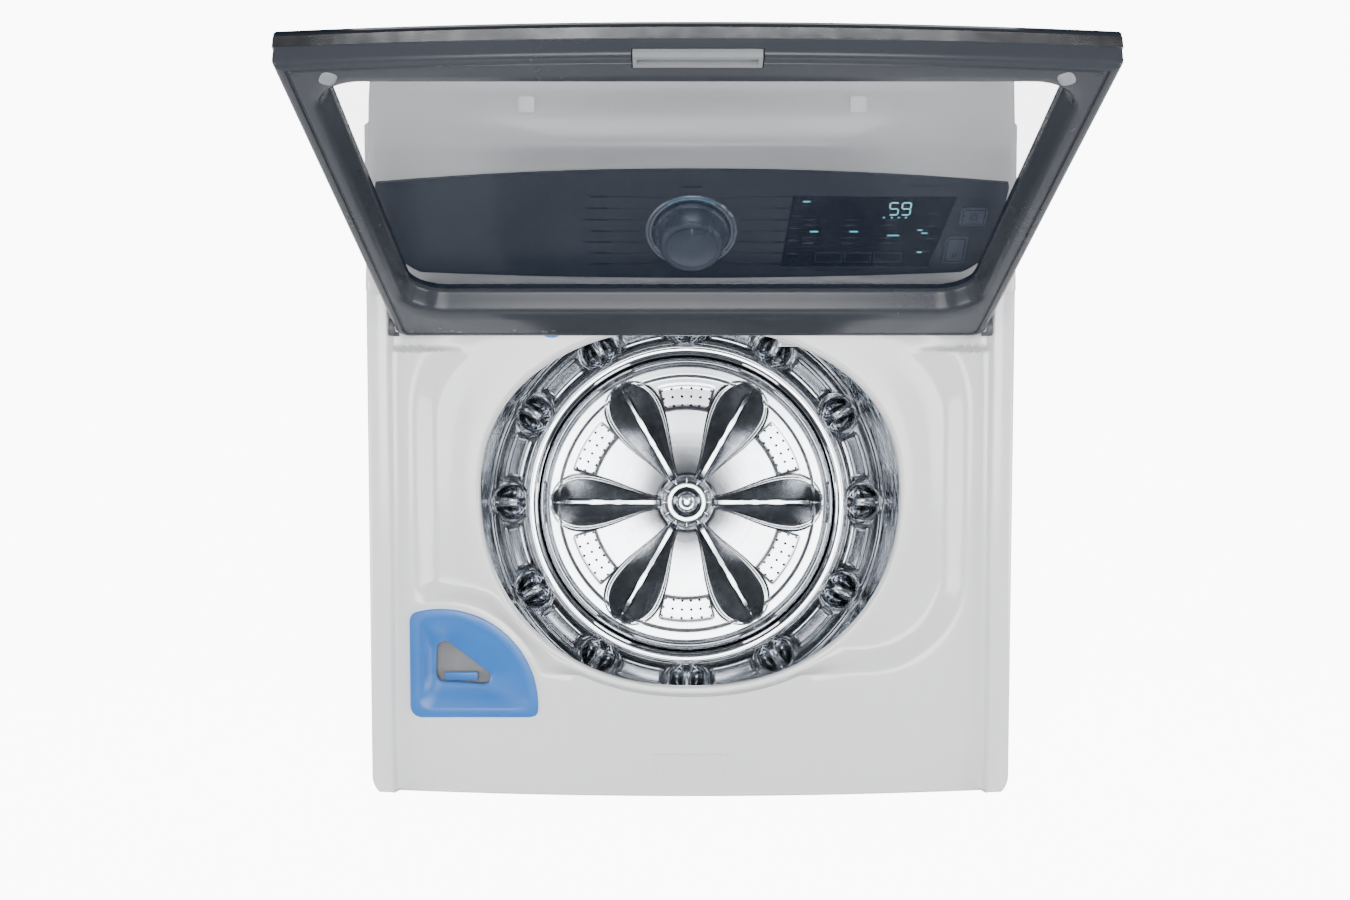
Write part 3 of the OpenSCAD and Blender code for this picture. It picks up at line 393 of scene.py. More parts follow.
def mouldedFinish(name, look):
    # paint, plastic and rubber: two near colours, uneven gloss, fine grain and a little dust
    material, tree, shader, spot = startMaterial(name)
    patches = placeEffect(tree, "patches", spot, Scale=look.get("patch", 5.0))
    colour = mixColours(tree, patches.outputs[0], look["colour"], look["shade"])
    if look.get("dust"):
        dust = placeEffect(tree, "dust", spot, Amount=look["dust"])
        colour = mixColours(tree, dust.outputs[0], colour, (0.42, 0.40, 0.37))
    tree.links.new(colour, shader.inputs["Base Color"])
    smudges = placeEffect(tree, "smudges", spot, Low=look["gloss"][0], High=look["gloss"][1])
    tree.links.new(smudges.outputs[0], shader.inputs["Roughness"])
    grain = placeEffect(tree, "grain", spot, Scale=look.get("grain", 900.0), Depth=1.0)
    addBump(tree, shader, grain.outputs[0], look.get("bump", 0.12), look.get("bumpDepth", 0.0002))
    shader.inputs["Metallic"].default_value = look.get("metal", 0.0)
    shader.inputs["Coat Weight"].default_value = look.get("coat", 0.0)
    shader.inputs["Coat Roughness"].default_value = 0.06
    shader.inputs["IOR"].default_value = look.get("ior", 1.5)
    return material


def turnedFinish(name, look):
    # steel that was pressed or turned round the tub's line
    material, tree, shader, spot = startMaterial(name)
    rings = placeEffect(tree, "turned", spot, Fineness=look.get("fineness", 2400.0))
    patches = placeEffect(tree, "patches", spot, Scale=look.get("patch", 9.0))
    mask = addMath(tree, "ADD", addMath(tree, "MULTIPLY", rings.outputs["Mask"], 0.6),
                   addMath(tree, "MULTIPLY", patches.outputs[0], 0.4))
    tree.links.new(mixColours(tree, mask, look["colour"], look["shade"]), shader.inputs["Base Color"])
    smudges = placeEffect(tree, "smudges", spot, Low=look["gloss"][0], High=look["gloss"][1])
    tree.links.new(smudges.outputs[0], shader.inputs["Roughness"])
    addBump(tree, shader, rings.outputs["Height"], look.get("bump", 0.1), look.get("bumpDepth", 0.0001))
    shader.inputs["Metallic"].default_value = 1.0
    return material


plainLooks = {
    "white_enamel": {"colour": (0.86, 0.865, 0.87), "shade": (0.83, 0.835, 0.845), "gloss": (0.2, 0.27),
                     "grain": 700.0, "bump": 0.05, "coat": 0.35},
    "white_plastic": {"colour": (0.87, 0.875, 0.885), "shade": (0.845, 0.85, 0.865), "gloss": (0.16, 0.24),
                      "grain": 1200.0, "bump": 0.03, "coat": 0.3},
    "frame_plastic": {"colour": (0.045, 0.05, 0.058), "shade": (0.06, 0.065, 0.075), "gloss": (0.42, 0.55),
                      "grain": 1500.0, "bump": 0.25, "dust": 0.25},
    "rear_zinc": {"colour": (0.52, 0.54, 0.56), "shade": (0.66, 0.68, 0.7), "gloss": (0.34, 0.5),
                  "grain": 90.0, "bump": 0.08, "metal": 0.85, "patch": 60.0},
    "zinc": {"colour": (0.5, 0.52, 0.54), "shade": (0.68, 0.7, 0.72), "gloss": (0.3, 0.45),
             "grain": 260.0, "bump": 0.1, "metal": 0.9, "patch": 90.0, "dust": 0.12},
    "rubber": {"colour": (0.018, 0.018, 0.02), "shade": (0.03, 0.03, 0.032), "gloss": (0.55, 0.75),
               "grain": 1400.0, "bump": 0.35, "dust": 0.3},
    "foot_rubber": {"colour": (0.025, 0.025, 0.027), "shade": (0.04, 0.04, 0.042), "gloss": (0.5, 0.7),
                    "grain": 1200.0, "bump": 0.35, "dust": 0.35},
    "blue_plastic": {"colour": (0.024, 0.145, 0.47), "shade": (0.03, 0.163, 0.51), "gloss": (0.3, 0.4),
                     "grain": 1300.0, "bump": 0.12, "patch": 9.0},
    "grey_plastic": {"colour": (0.19, 0.2, 0.215), "shade": (0.23, 0.24, 0.255), "gloss": (0.4, 0.52),
                     "grain": 1300.0, "bump": 0.2, "dust": 0.2},
    "lid_plastic": {"colour": (0.034, 0.037, 0.046), "shade": (0.042, 0.046, 0.056), "gloss": (0.22, 0.28),
                    "grain": 500.0, "bump": 0.01, "ior": 1.3, "patch": 3.0},
    "silver_trim": {"colour": (0.62, 0.63, 0.65), "shade": (0.72, 0.73, 0.75), "gloss": (0.14, 0.24),
                    "grain": 500.0, "bump": 0.04, "metal": 1.0, "patch": 20.0},
    "navy_panel": {"colour": (0.036, 0.042, 0.054), "shade": (0.042, 0.049, 0.062), "gloss": (0.3, 0.38),
                   "grain": 1500.0, "bump": 0.05, "patch": 4.0},
    "display_black": {"colour": (0.004, 0.005, 0.007), "shade": (0.008, 0.009, 0.012), "gloss": (0.08, 0.14),
                      "grain": 1800.0, "bump": 0.02, "coat": 0.4},
    "knob_grey": {"colour": (0.1, 0.12, 0.155), "shade": (0.125, 0.145, 0.185), "gloss": (0.24, 0.34),
                  "grain": 1500.0, "bump": 0.08, "metal": 0.35, "patch": 14.0},
    "board_green": {"colour": (0.01, 0.09, 0.035), "shade": (0.02, 0.13, 0.05), "gloss": (0.3, 0.45),
                    "grain": 400.0, "bump": 0.2, "patch": 60.0},
    "tub_plastic": {"colour": (0.5, 0.51, 0.52), "shade": (0.6, 0.61, 0.62), "gloss": (0.42, 0.55),
                    "grain": 900.0, "bump": 0.2, "dust": 0.15},
    "cast_alloy": {"colour": (0.33, 0.34, 0.35), "shade": (0.45, 0.46, 0.47), "gloss": (0.45, 0.62),
                   "grain": 320.0, "bump": 0.4, "metal": 0.9, "patch": 50.0},
    "copper_coils": {"colour": (0.55, 0.2, 0.07), "shade": (0.68, 0.3, 0.12), "gloss": (0.28, 0.42),
                     "grain": 1100.0, "bump": 0.6, "metal": 1.0, "patch": 120.0},
    "shaft_steel": {"colour": (0.55, 0.56, 0.58), "shade": (0.68, 0.69, 0.71), "gloss": (0.16, 0.26),
                    "grain": 900.0, "bump": 0.08, "metal": 1.0, "patch": 50.0},
}
finishes = {name: mouldedFinish(name, look) for name, look in plainLooks.items()}
finishes["stainless"] = turnedFinish("stainless", {"colour": (0.47, 0.49, 0.52), "shade": (0.58, 0.6, 0.63),
                                                   "gloss": (0.06, 0.11), "bump": 0.02})
finishes["plateSteel"] = turnedFinish("plateSteel",
                                      {"colour": (0.47, 0.49, 0.52), "shade": (0.62, 0.64, 0.67),
                                                     "gloss": (0.15, 0.23), "bump": 0.06, "fineness": 1800.0})


def windowFinish():
    # tinted glass: clear in the middle of its own colour, still glossy
    material, tree, shader, spot = startMaterial("windowGlass")
    patches = placeEffect(tree, "patches", spot, Scale=2.0)
    colour = mixColours(tree, patches.outputs[0], (0.022, 0.03, 0.05), (0.027, 0.036, 0.058))
    tree.links.new(colour, shader.inputs["Base Color"])
    smudges = placeEffect(tree, "smudges", spot, Low=0.03, High=0.07)
    tree.links.new(smudges.outputs[0], shader.inputs["Roughness"])
    tree.links.new(addRange(tree, patches.outputs[0], 0.0, 1.0, 0.27, 0.31), shader.inputs["Alpha"])
    shader.inputs["Metallic"].default_value = 0.0
    shader.inputs["IOR"].default_value = 1.12
    return material


def glowFinish(name, colour, strength):
    material, tree, shader, spot = startMaterial(name)
    patches = placeEffect(tree, "patches", spot, Scale=300.0)
    dim = tuple(0.7 * part for part in colour)
    glow = mixColours(tree, patches.outputs[0], colour, dim)
    tree.links.new(glow, shader.inputs["Emission Color"])
    tree.links.new(glow, shader.inputs["Base Color"])
    shader.inputs["Emission Strength"].default_value = strength
    shader.inputs["Roughness"].default_value = 0.4
    return material


finishes["bumperGrey"] = mouldedFinish("bumperGrey",
                                       {"colour": (0.22, 0.235, 0.26), "shade": (0.26, 0.275, 0.3),
                                                      "gloss": (0.3, 0.4), "grain": 1300.0, "bump": 0.1})
finishes["lid_glass"] = windowFinish()
finishes["glow"] = glowFinish("displayGlow", (0.25, 0.85, 1.0), 1.6)
finishes["arcGlow"] = glowFinish("arcGlow", (0.06, 0.35, 0.6), 0.8)
finishes["dimPrint"] = mouldedFinish("dimPrint", {"colour": (0.04, 0.06, 0.08), "shade": (0.06, 0.085, 0.11),
                                                  "gloss": (0.4, 0.5), "grain": 1500.0, "bump": 0.05})
finishes["knobRing"] = mouldedFinish("knobRing", {"colour": (0.34, 0.39, 0.46), "shade": (0.4, 0.45, 0.52),
                                                  "gloss": (0.22, 0.32), "grain": 1500.0, "bump": 0.05,
                                                  "metal": 0.6})
finishes["print"] = mouldedFinish("panelInk", {"colour": (0.002, 0.003, 0.005),
                                               "shade": (0.003, 0.004, 0.007),
                                              "gloss": (0.4, 0.5), "grain": 1500.0, "bump": 0.05})
# near-black painted shade: the plate's holes are shallow dimples, and this colour stands for the dark seen
# through an open hole
finishes["holePaintedShade"] = mouldedFinish("holePaintedShade",
                                     {"colour": (0.01, 0.011, 0.013), "shade": (0.02, 0.021, 0.023),
                                                  "gloss": (0.5, 0.6), "grain": 900.0, "bump": 0.05})
finishes["borderGlass"] = mouldedFinish("borderGlass", {"colour": (0.008, 0.01, 0.014),
                                                        "shade": (0.014, 0.017, 0.022), "gloss": (0.05, 0.09),
                                                        "grain": 1500.0, "bump": 0.01, "coat": 0.5})
slotOf = {part["node"]: part["material_slot"] for part in frame["record"]["subparts"]}
for nodeName, nodePiece in frame["nodes"].items():
    nodePiece.data.materials.clear()
    nodePiece.data.materials.append(finishes[slotOf[nodeName]])
print("finishes given to every node")


# ---- top cover: one moulded shell from the tub opening out to the skirt ----
deckForm = {
    "halfWidth": 343, "front": -371.5, "back": 347.5, "frontBow": 8, "corner": 27, "rail": 25,
    "floor": -15, "dish": -30, "trough": -26, "crease": -454, "ledgeDrop": 10, "skirt": -50,
    "dishSide": 300, "dishFront": -238, "dishCorner": 105, "dishBack": 154, "slope": 30,
    "openSide": 228, "openFront": 213, "openRear": 175, "openPower": 2.2, "lip": -41,
}
trayForm = {"left": -302, "front": -414, "reach": 105, "centre": (-269, -401), "corner": 13, "tipCorner": 7}
softenerForm = {"x": -149, "v": 12, "hole": 15.2}


def deckHeight(y, w):
    # height above the floor of a point w above the deck's own plane
    tilt = math.radians(slopes["deck"])
    return deckOrigin.z / mm + (y - deckOrigin.y / mm) * math.tan(tilt) + w / math.cos(tilt)


def deckAlong(y, w):
    # place along the deck's slope, from the hinge line
    tilt = math.radians(slopes["deck"])
    return (y - deckOrigin.y / mm + w * math.sin(tilt)) / math.cos(tilt)


def insideCover(x, y, inset):
    form = deckForm
    half = form["halfWidth"]
    bowRadius = (half * half + form["frontBow"] ** 2) / (2 * form["frontBow"])
    box = (-half + inset, half - inset, form["front"] + inset, 2000)
    inFront = math.hypot(x, y - form["front"] - bowRadius) <= bowRadius - inset or y > 0
    return insideBox(x, y, box, form["corner"] - inset) and inFront and y <= form["back"] - inset


def insideTray(u, v, grow):
    # two straight sides and a round one, all corners softened
    form = trayForm
    left, front, corner = form["left"] - grow, form["front"] - grow, form["corner"]
    sides = math.hypot(max(left - u + corner, 0), max(front - v + corner, 0)) - corner
    arc = math.hypot(u - form["centre"][0], v - form["centre"][1]) - form["reach"] - grow
    soft = form["tipCorner"]
    return math.hypot(max(sides + soft, 0), max(arc + soft, 0)) <= soft


def insideDish(x, y, inset):
    form = deckForm
    box = (-form["dishSide"] + inset, form["dishSide"] - inset, form["dishFront"] + inset,
           form["dishBack"] - inset)
    clear = not insideTray(x, deckAlong(y, form["floor"]), 7 + inset * 0.7)
    return clear and insideBox(x, y, box, form["dishCorner"] - inset * 0.5)


def openingReach(angle, grow):
    form = deckForm
    across, along = math.cos(angle), math.sin(angle)
    deep = form["openRear"] if along > 0 else form["openFront"]
    power = form["openPower"]
    share = (abs(across) / (form["openSide"] + grow)) ** power + (abs(along) / (deep + grow)) ** power
    return share ** (-1 / power)


def recessFloor(x, y):
    # height of the recess: flat, down the front ledge, and down into the trough by the hinge
    form = deckForm
    v = deckAlong(y, form["floor"])
    past = max(form["crease"] + 5 - v, 0)
    drop = math.tan(math.radians(form["ledgeDrop"]))
    ledge = drop * (past - 5 * (1 - math.exp(-past / 5)))
    trough = (form["floor"] - form["trough"]) * smoothStep((v + 20) / 7)
    return form["floor"] - ledge - trough


def makeTopCover():
    form = deckForm
    centre = (tubCentre.x / mm, tubCentre.y / mm)
    cornerAngles = [math.atan2(form["front"] + 14 - centre[1], side * (form["halfWidth"] - 12))
                    for side in (-1, 1)]
    angles = [math.radians(i) for i in range(-180, 180)]
    for corner in cornerAngles:
        angles += [corner + math.radians(0.21 * i) for i in range(-24, 25)]
    for side in (0, math.pi):
        angles += [side + math.radians(24 + 0.35 * i) * (1 if side == 0 else -1) for i in range(-12, 30)]
    angles = sorted({round(math.atan2(math.sin(a), math.cos(a)), 4) for a in angles})
    recessEdge = form["halfWidth"] - form["rail"]
    rings = [[] for ring in range(42)]
    for angle in angles:
        across, along = math.cos(angle), math.sin(angle)

        def spot(reach):
            return centre[0] + across * reach, centre[1] + along * reach

        def inRecess(x, y, inset):
            v = deckAlong(y, form["floor"])
            return abs(x) <= recessEdge - inset and v <= 34 - inset and insideCover(x, y, 0)

        open0 = openingReach(angle, 0)
        dishOut = rayLength(lambda x, y: insideDish(x, y, 0), centre, angle)
        dishIn = rayLength(lambda x, y: insideDish(x, y, form["slope"]), centre, angle)
        dishIn = min(dishIn, dishOut - 4)
        dishIn = max(dishIn, openingReach(angle, 7))
        dishOut = max(dishOut, dishIn + 3)
        recess = rayLength(lambda x, y: inRecess(x, y, 0), centre, angle)
        recessIn = rayLength(lambda x, y: inRecess(x, y, 3.2), centre, angle)
        edge = rayLength(lambda x, y: insideCover(x, y, 0), centre, angle)
        edge1 = rayLength(lambda x, y: insideCover(x, y, 1.6), centre, angle)
        edge3 = rayLength(lambda x, y: insideCover(x, y, 3.0), centre, angle)
        edge5 = rayLength(lambda x, y: insideCover(x, y, 5.5), centre, angle)
        openFront = recess >= edge - 0.01
        railW = recessFloor(*spot(edge)) if openFront else 0.0
        column = [(open0, form["lip"]), (open0, form["dish"] - 4),
                  (openingReach(angle, 0.7), form["dish"] - 1.6),
                  (openingReach(angle, 2.2), form["dish"] - 0.4), (openingReach(angle, 5), form["dish"])]
        start = openingReach(angle, 6)
        for share in (0.25, 0.6, 1.0):
            column.append((start + (dishIn - start) * share, form["dish"]))
        for share in (0.12, 0.25, 0.38, 0.5, 0.62, 0.75, 0.88, 1.0):
            reach = dishIn + (dishOut - dishIn) * share
            top = recessFloor(*spot(reach))
            column.append((reach, form["dish"] + (top - form["dish"]) * smoothStep(share)))
        recessStart = min(dishOut + 2, recess)
        last = edge5 if openFront else recessIn
        for share in (0.05, 0.3, 0.55, 0.8, 1.0):
            reach = recessStart + (max(last, recessStart) - recessStart) * share
            column.append((reach, recessFloor(*spot(reach))))
        if openFront:
            low = recessFloor(*spot(edge5))
            for reach, down in ((edge3, 0.3), (edge3, 0.3), (edge3, 0.3), (edge3, 0.3), (edge3, 0.3),
                                (edge1, 1.2), (edge, 3.2), (edge, 6.0)):
                column.append((min(reach, edge), recessFloor(*spot(min(reach, edge))) - down))
        else:
            floor = recessFloor(*spot(recessIn))
            half = recessIn + (recess - recessIn) * 0.75
            column += [(half, floor + 0.7), (recess, floor + 3.0), (min(recess + 0.8, edge3), -2.2),
                       (min(recess + 1.8, edge3), -0.6), (min(recess + 3.4, edge3), 0.0),
                       (max(edge5, min(recess + 3.5, edge3)), 0.0), (max(edge3, recess + 0.1), -0.5),
                       (edge1, -2.0)]
            column[-1] = (max(edge1, column[-2][0]), -2.0)
            column.append((edge, -5.0))
        column = column[:29]
        while len(column) < 29:
            column.append((edge, railW - 6.5))
        inner = max(edge3 - 0.5, 0)
        column += [(edge, -24.0 if not openFront else railW - 12), (edge, form["skirt"]),
                   (inner, form["skirt"]),
                   (inner, railW - 9)]
        under = min(recess + 3, inner)
        column += [(under, (railW if openFront else 0) - (3.4 if not openFront else 9))]
        floor = recessFloor(*spot(min(recess, edge3))) - 3.4
        column += [(min(recess + 2.5, inner - 0.2), floor), (min(max(dishOut + 6, start), recess), floor)]
        column += [(max(dishOut, start + 5), min(floor, form["dish"] - 3.3 + 13)),
                   (max(dishIn, start + 4), form["dish"] - 3.3),
                   (openingReach(angle, 3.6), form["dish"] - 3.3),
                   (openingReach(angle, 3), form["dish"] - 5), (openingReach(angle, 3), form["lip"])]
        column = column[:len(rings)]
        for ring, (reach, w) in zip(rings, column):
            x, y = spot(reach)
            ring.append((x, y, deckHeight(y, w)))
    rings = [ring for ring in rings if ring]
    cover = loft("top_cover_shell", rings)
    trayTurns = [math.radians(5 * i) for i in range(72)]
    hub = (-258, -366)
    ringAt = [rayLength(lambda u, v: insideTray(u, v, -8), hub, a) for a in trayTurns]
    outline = [(hub[0] + r * math.cos(a), hub[1] + r * math.sin(a)) for r, a in zip(ringAt, trayTurns)]
    trayCut = loft("trayCut", [[hub + (-60,)] * 72, [p + (-60,) for p in outline],
                               [p + (5,) for p in outline], [hub + (5,)] * 72], deckPlace, closed=False)
    cutWith(cover, trayCut)
    cup = lathe("softenerCut", [(0, -60), (softenerForm["hole"], -60), (softenerForm["hole"], 5), (0, 5)],
                (softenerForm["x"], softenerForm["v"]), 48, deckPlace, closed=False)
    cutWith(cover, cup)
    return finishPiece(cover, "cabinet", finishes["white_plastic"], ["top_cover"], 40)


makeTopCover()


# ---- bleach tray: a flat rim, four leaning faces and a hole over its grey cup ----
cupForm = {"hub": (-256, -361), "points": ((-267, -368, 9), (-266, -342, 9), (-225, -372, 8)),
           "rimTop": -12.6, "holeTop": -24, "holeLow": -27, "cupFloor": -39}


def insideHole(u, v, grow):
    # a rounded triangle round three points
    points = cupForm["points"]
    for i, (ax, ay, ar) in enumerate(points):
        bx, by, br = points[(i + 1) % 3]
        for step in range(13):
            t = step / 12
            if math.hypot(u - ax - (bx - ax) * t, v - ay - (by - ay) * t) <= ar + (br - ar) * t + grow:
                return True
    total = 0
    for i, (ax, ay, ar) in enumerate(points):
        bx, by, br = points[(i + 1) % 3]
        total += 1 if (bx - ax) * (v - ay) - (by - ay) * (u - ax) > 0 else -1
    return abs(total) == 3


def outlineRing(inside, hub, turns, w):
    reaches = [rayLength(inside, hub, a) for a in turns]
    return [(hub[0] + r * math.cos(a), hub[1] + r * math.sin(a), w) for r, a in zip(reaches, turns)]


def makeBleachTray():
    hub = cupForm["hub"]
    turns = [math.radians(2.5 * i) for i in range(144)]
    top, hole, low = cupForm["rimTop"], cupForm["holeTop"], cupForm["holeLow"]

    def tray(grow, w):
        return outlineRing(lambda u, v: insideTray(u, v, grow), hub, turns, w)

    def opening(grow, w):
        return outlineRing(lambda u, v: insideHole(u, v, grow), hub, turns, w)

    def between(share, w):
        return [(a[0] + (b[0] - a[0]) * share, a[1] + (b[1] - a[1]) * share, w)
                for a, b in zip(tray(-14, 0), opening(4, 0))]

    rings = [tray(0, top - 2.9), tray(0, top - 1), tray(-0.5, top - 0.3), tray(-1.3, top), tray(-9, top),
             tray(-10.5, top - 0.3), tray(-12, top - 1.2), between(0.12, top - 2.4), between(0.5, top - 6.5),
             between(0.88, hole + 1.6), opening(3.2, hole + 0.5), opening(1.4, hole - 0.1),
             opening(0.3, hole - 0.9),
             opening(0, hole - 2), opening(0, low), opening(1.5, low), opening(1.6, hole - 2.5),
             between(0.9, hole - 1.4), between(0.5, top - 9), tray(-13, top - 4.5), tray(-10, top - 2.9)]
    funnel = loft("bleach_tray_funnel", rings, deckPlace)
    return finishPiece(funnel, "cabinet", finishes["blue_plastic"], ["bleach_tray"], 24)


def makeBleachCup():
    hub = cupForm["hub"]
    turns = [math.radians(5 * i) for i in range(72)]
    low, floor = cupForm["holeLow"], cupForm["cupFloor"]

    def opening(grow, w):
        return outlineRing(lambda u, v: insideHole(u, v, grow), hub, turns, w)

    pole = [hub + (floor,)] * 72
    base = [hub + (floor - 2,)] * 72
    rings = [pole, opening(1.5, floor), opening(4, floor + 3), opening(4, low + 2), opening(6, low + 2),
             opening(6, floor + 1), opening(4, floor - 2), base]
    cup = loft("bleach_cup_liner", rings, deckPlace, closed=False)
    finishPiece(cup, "cabinet", finishes["grey_plastic"], ["bleach_cup"], 30)
    shelf = platePiece("bleach_level_shelf", (36, 9), (-249, -372.5, -31), 2, deckPlace, 0.8)
    finishPiece(shelf, "cabinet", finishes["blue_plastic"])


makeBleachTray()
makeBleachCup()


# ---- grip pad on the front ledge, a shallow pillow with soft edges ----
gripForm = {"backHalf": 41, "frontHalf": 35, "depth": 30, "high": 1.9}


def makeGripPad():
    form = gripForm
    deselectAll()
    bpy.ops.mesh.primitive_cube_add(size=1)
    pad = bpy.context.object
    pad.name = "grip_pad_cushion"
    for corner in pad.data.vertices:
        x, y, z = corner.co
        half = form["backHalf"] if y > 0 else form["frontHalf"]
        corner.co = Vector((2 * x * half, (y - 0.5) * form["depth"] - 0.5, (z + 0.5) * form["high"])) * mm
    softEdges(pad, 0.8, 3)
    lean = Matrix.Rotation(math.radians(deckForm["ledgeDrop"]), 4, "X")
    seat = Matrix.Translation((0, deckForm["crease"] * mm, deckForm["floor"] * mm))
    settle(pad, deckPlace @ seat @ lean)
    finishPiece(pad, "cabinet", finishes["white_enamel"], ["grip_pad"], 30)


makeGripPad()
# ---- basket: the wall, the pressed base with its pockets, and the wash plate ----
basketForm = {"wallRadius": 272, "sheet": 1.1, "low": 501, "high": 849, "quiltAround": 36, "quiltHigh": 34,
              "quiltDeep": 1.7, "bead": 792, "around": 528}
baseForm = {"inner": 211, "outer": 271.8, "floor": 440, "top": 501, "curve": 1.5, "pockets": 12,
            "pocketRadius": 247, "pocketWide": 23, "pocketLong": 19, "pocketDeep": 17, "strapWide": 7.5,
            "steps": ((216, 3.5, 1.6), (223.5, 2.0, -1.6), (266, 2.6, 1.6), (228, 1.6, 1.0))}
plateForm = {"rim": 207.6, "level": 442, "petals": 6, "petalTip": 192, "petalWide": 35, "petalWidest": 150,
             "petalRoot": 37, "petalHigh": 22, "ribWide": 3.2, "hub": 37.5, "hubHigh": 11, "bell": 8,
             "bellReach": 42,
             "rimBand": 179.5, "rimGroove": 197.5, "rimDrop": 200, "ridge": 31.5, "barAt": 203,
             "field": 151.5,
             "fieldHalf": 17, "bore": 22.2, "around": 840}


def quiltDepth(turn, height):
    # raised diamonds: two sets of slanting lines cross
    around = turn * basketForm["quiltAround"] / (2 * math.pi)
    up = height / basketForm["quiltHigh"]
    first = abs((around + up) % 1 - 0.5) * 2
    second = abs((around - up) % 1 - 0.5) * 2
    return 1 - max(first, second) ** 1.5


def makeBasketWall():
    form = basketForm
    centre = (tubCentre.x / mm, tubCentre.y / mm)
    turns = [2 * math.pi * i / form["around"] for i in range(form["around"])]
    heights = [form["low"] + 3.4 * i for i in range(1, 85)]

    def ring(height, push, quilt):
        points = []
        for turn in turns:
            bulge = quilt * form["quiltDeep"] * quiltDepth(turn, height)
            radius = form["wallRadius"] + push - bulge
            points.append((centre[0] + radius * math.cos(turn), centre[1] + radius * math.sin(turn), height))
        return points

    rings = [ring(form["low"], 0, 0)]
    rings += [ring(h, 0, min(1, (h - form["low"]) / 12, (heights[-1] - h) / 10)) for h in heights]
    for height, push in ((form["bead"] - 4, 0), (form["bead"] - 2, 1.4), (form["bead"], 2.0),
                         (form["bead"] + 2, 1.4),
                         (form["bead"] + 4, 0), (form["high"], 0), (form["high"], form["sheet"]),
                         (form["bead"] + 5, form["sheet"]), (form["bead"], 3.2),
                         (form["bead"] - 5, form["sheet"]),
                         (form["low"], form["sheet"])):
        rings.append(ring(height, push, 0))
    wall = loft("basket_wall", rings)
    return finishPiece(wall, "basket", finishes["stainless"], ["wash_basket"], 50)


def baseProfile(radius):
    # the base climbs from the plate to the wall in pressed steps
    form = baseForm
    share = (radius - form["inner"]) / (form["outer"] - form["inner"])
    height = form["floor"] + (form["top"] - form["floor"]) * min(max(share, 0), 1) ** form["curve"]
    for place, wide, lift in form["steps"]:
        height += lift * math.exp(-((radius - place) / wide) ** 2)
    return height


def baseHeight(radius, turn):
    form = baseForm
    step = 2 * math.pi / form["pockets"]
    off = (turn + step / 2) % step - step / 2
    across = off * radius
    along = radius - form["pocketRadius"]
    height = baseProfile(radius)
    # long pressed channels between the pockets
    channel = smoothStep((abs(off) - 0.125) / 0.03) * smoothStep((11 - abs(radius - 246)) / 4)
    height -= 2.6 * channel
    farOut = math.hypot(across / form["pocketWide"], along / form["pocketLong"])
    lip = 1.8 * math.exp(-((farOut - 1.12) / 0.11) ** 2)
    bowl = form["pocketDeep"] * smoothStep((1.05 - farOut) / 0.34)
    strap = smoothStep((form["strapWide"] + 3.0 - abs(across)) / 4.5)
    crown = max(1 - (across / (form["strapWide"] + 4)) ** 2, 0) * 2.5
    return height + lip - bowl * (1 - strap) + strap * crown * smoothStep((1.12 - farOut) / 0.25)


def polarSheet(name, radii, turns, heightAt, under, place=upright):
    # a dished sheet on rings round the tub's line, closed underneath
    centre = (tubCentre.x / mm, tubCentre.y / mm)

    def ring(radius, lift, shape=True):
        return [(centre[0] + radius * math.cos(t), centre[1] + radius * math.sin(t),
                 (heightAt(radius, t) if shape else 0) + lift) for t in turns]

    rings = [ring(r, 0) for r in radii]
    rings += [ring(r, h, False) for r, h in under]
    return loft(name, rings, place)


def makeBasketBase():
    form = baseForm
    count = 840
    turns = [2 * math.pi * i / count for i in range(count)]
    radii = [form["inner"] + (form["outer"] - form["inner"]) * i / 52 for i in range(53)]
    under = [(form["outer"], form["top"] - 4), (form["outer"] - 8, form["top"] - 32),
             (form["inner"] + 22, 421),
             (form["inner"] - 4, 419), (46, 419), (46, 420.4), (form["inner"] - 5, 420.4),
             (form["inner"] - 1, 424)]
    sheet = polarSheet("basket_base_pressing", radii, turns, baseHeight, under)
    return finishPiece(sheet, "basket", finishes["stainless"], ["basket_base"], 60)


def petalLift(radius, turn):
    # a petal: a straight bright rib with hollow sides and a full round end
    form = plateForm
    step = 2 * math.pi / form["petals"]
    off = (turn + step / 2) % step - step / 2
    across, along = radius * math.sin(off), radius * math.cos(off)
    root, widest, tip = form["petalRoot"], form["petalWidest"], form["petalTip"]
    if along <= root or along >= tip:
        return 0.0
    if along < widest:
        share = (along - root) / (widest - root)
        half = 8 + (form["petalWide"] - 8) * smoothStep(share) ** 0.85
        rise = form["petalHigh"] * (0.45 + 0.55 * smoothStep(share * 1.2))
    else:
        share = (along - widest) / (tip - widest)
        half = form["petalWide"] * math.sqrt(max(1 - share * share, 0))
        rise = form["petalHigh"] * math.sqrt(max(1 - share ** 2.4, 0))
    if half < 0.5:
        return 0.0
    out = abs(across) / half
    if out >= 1.16:
        return 0.0
    if out >= 1:
        return 1.3 * math.sin((1.16 - out) / 0.16 * math.pi)
    rib = smoothStep((form["ribWide"] * 1.9 - abs(across)) / form["ribWide"])
    side = (1 - out) ** 1.25 * 0.72
    return rise * max(side, rib * 0.9 * min(1, (tip - along) / 22))


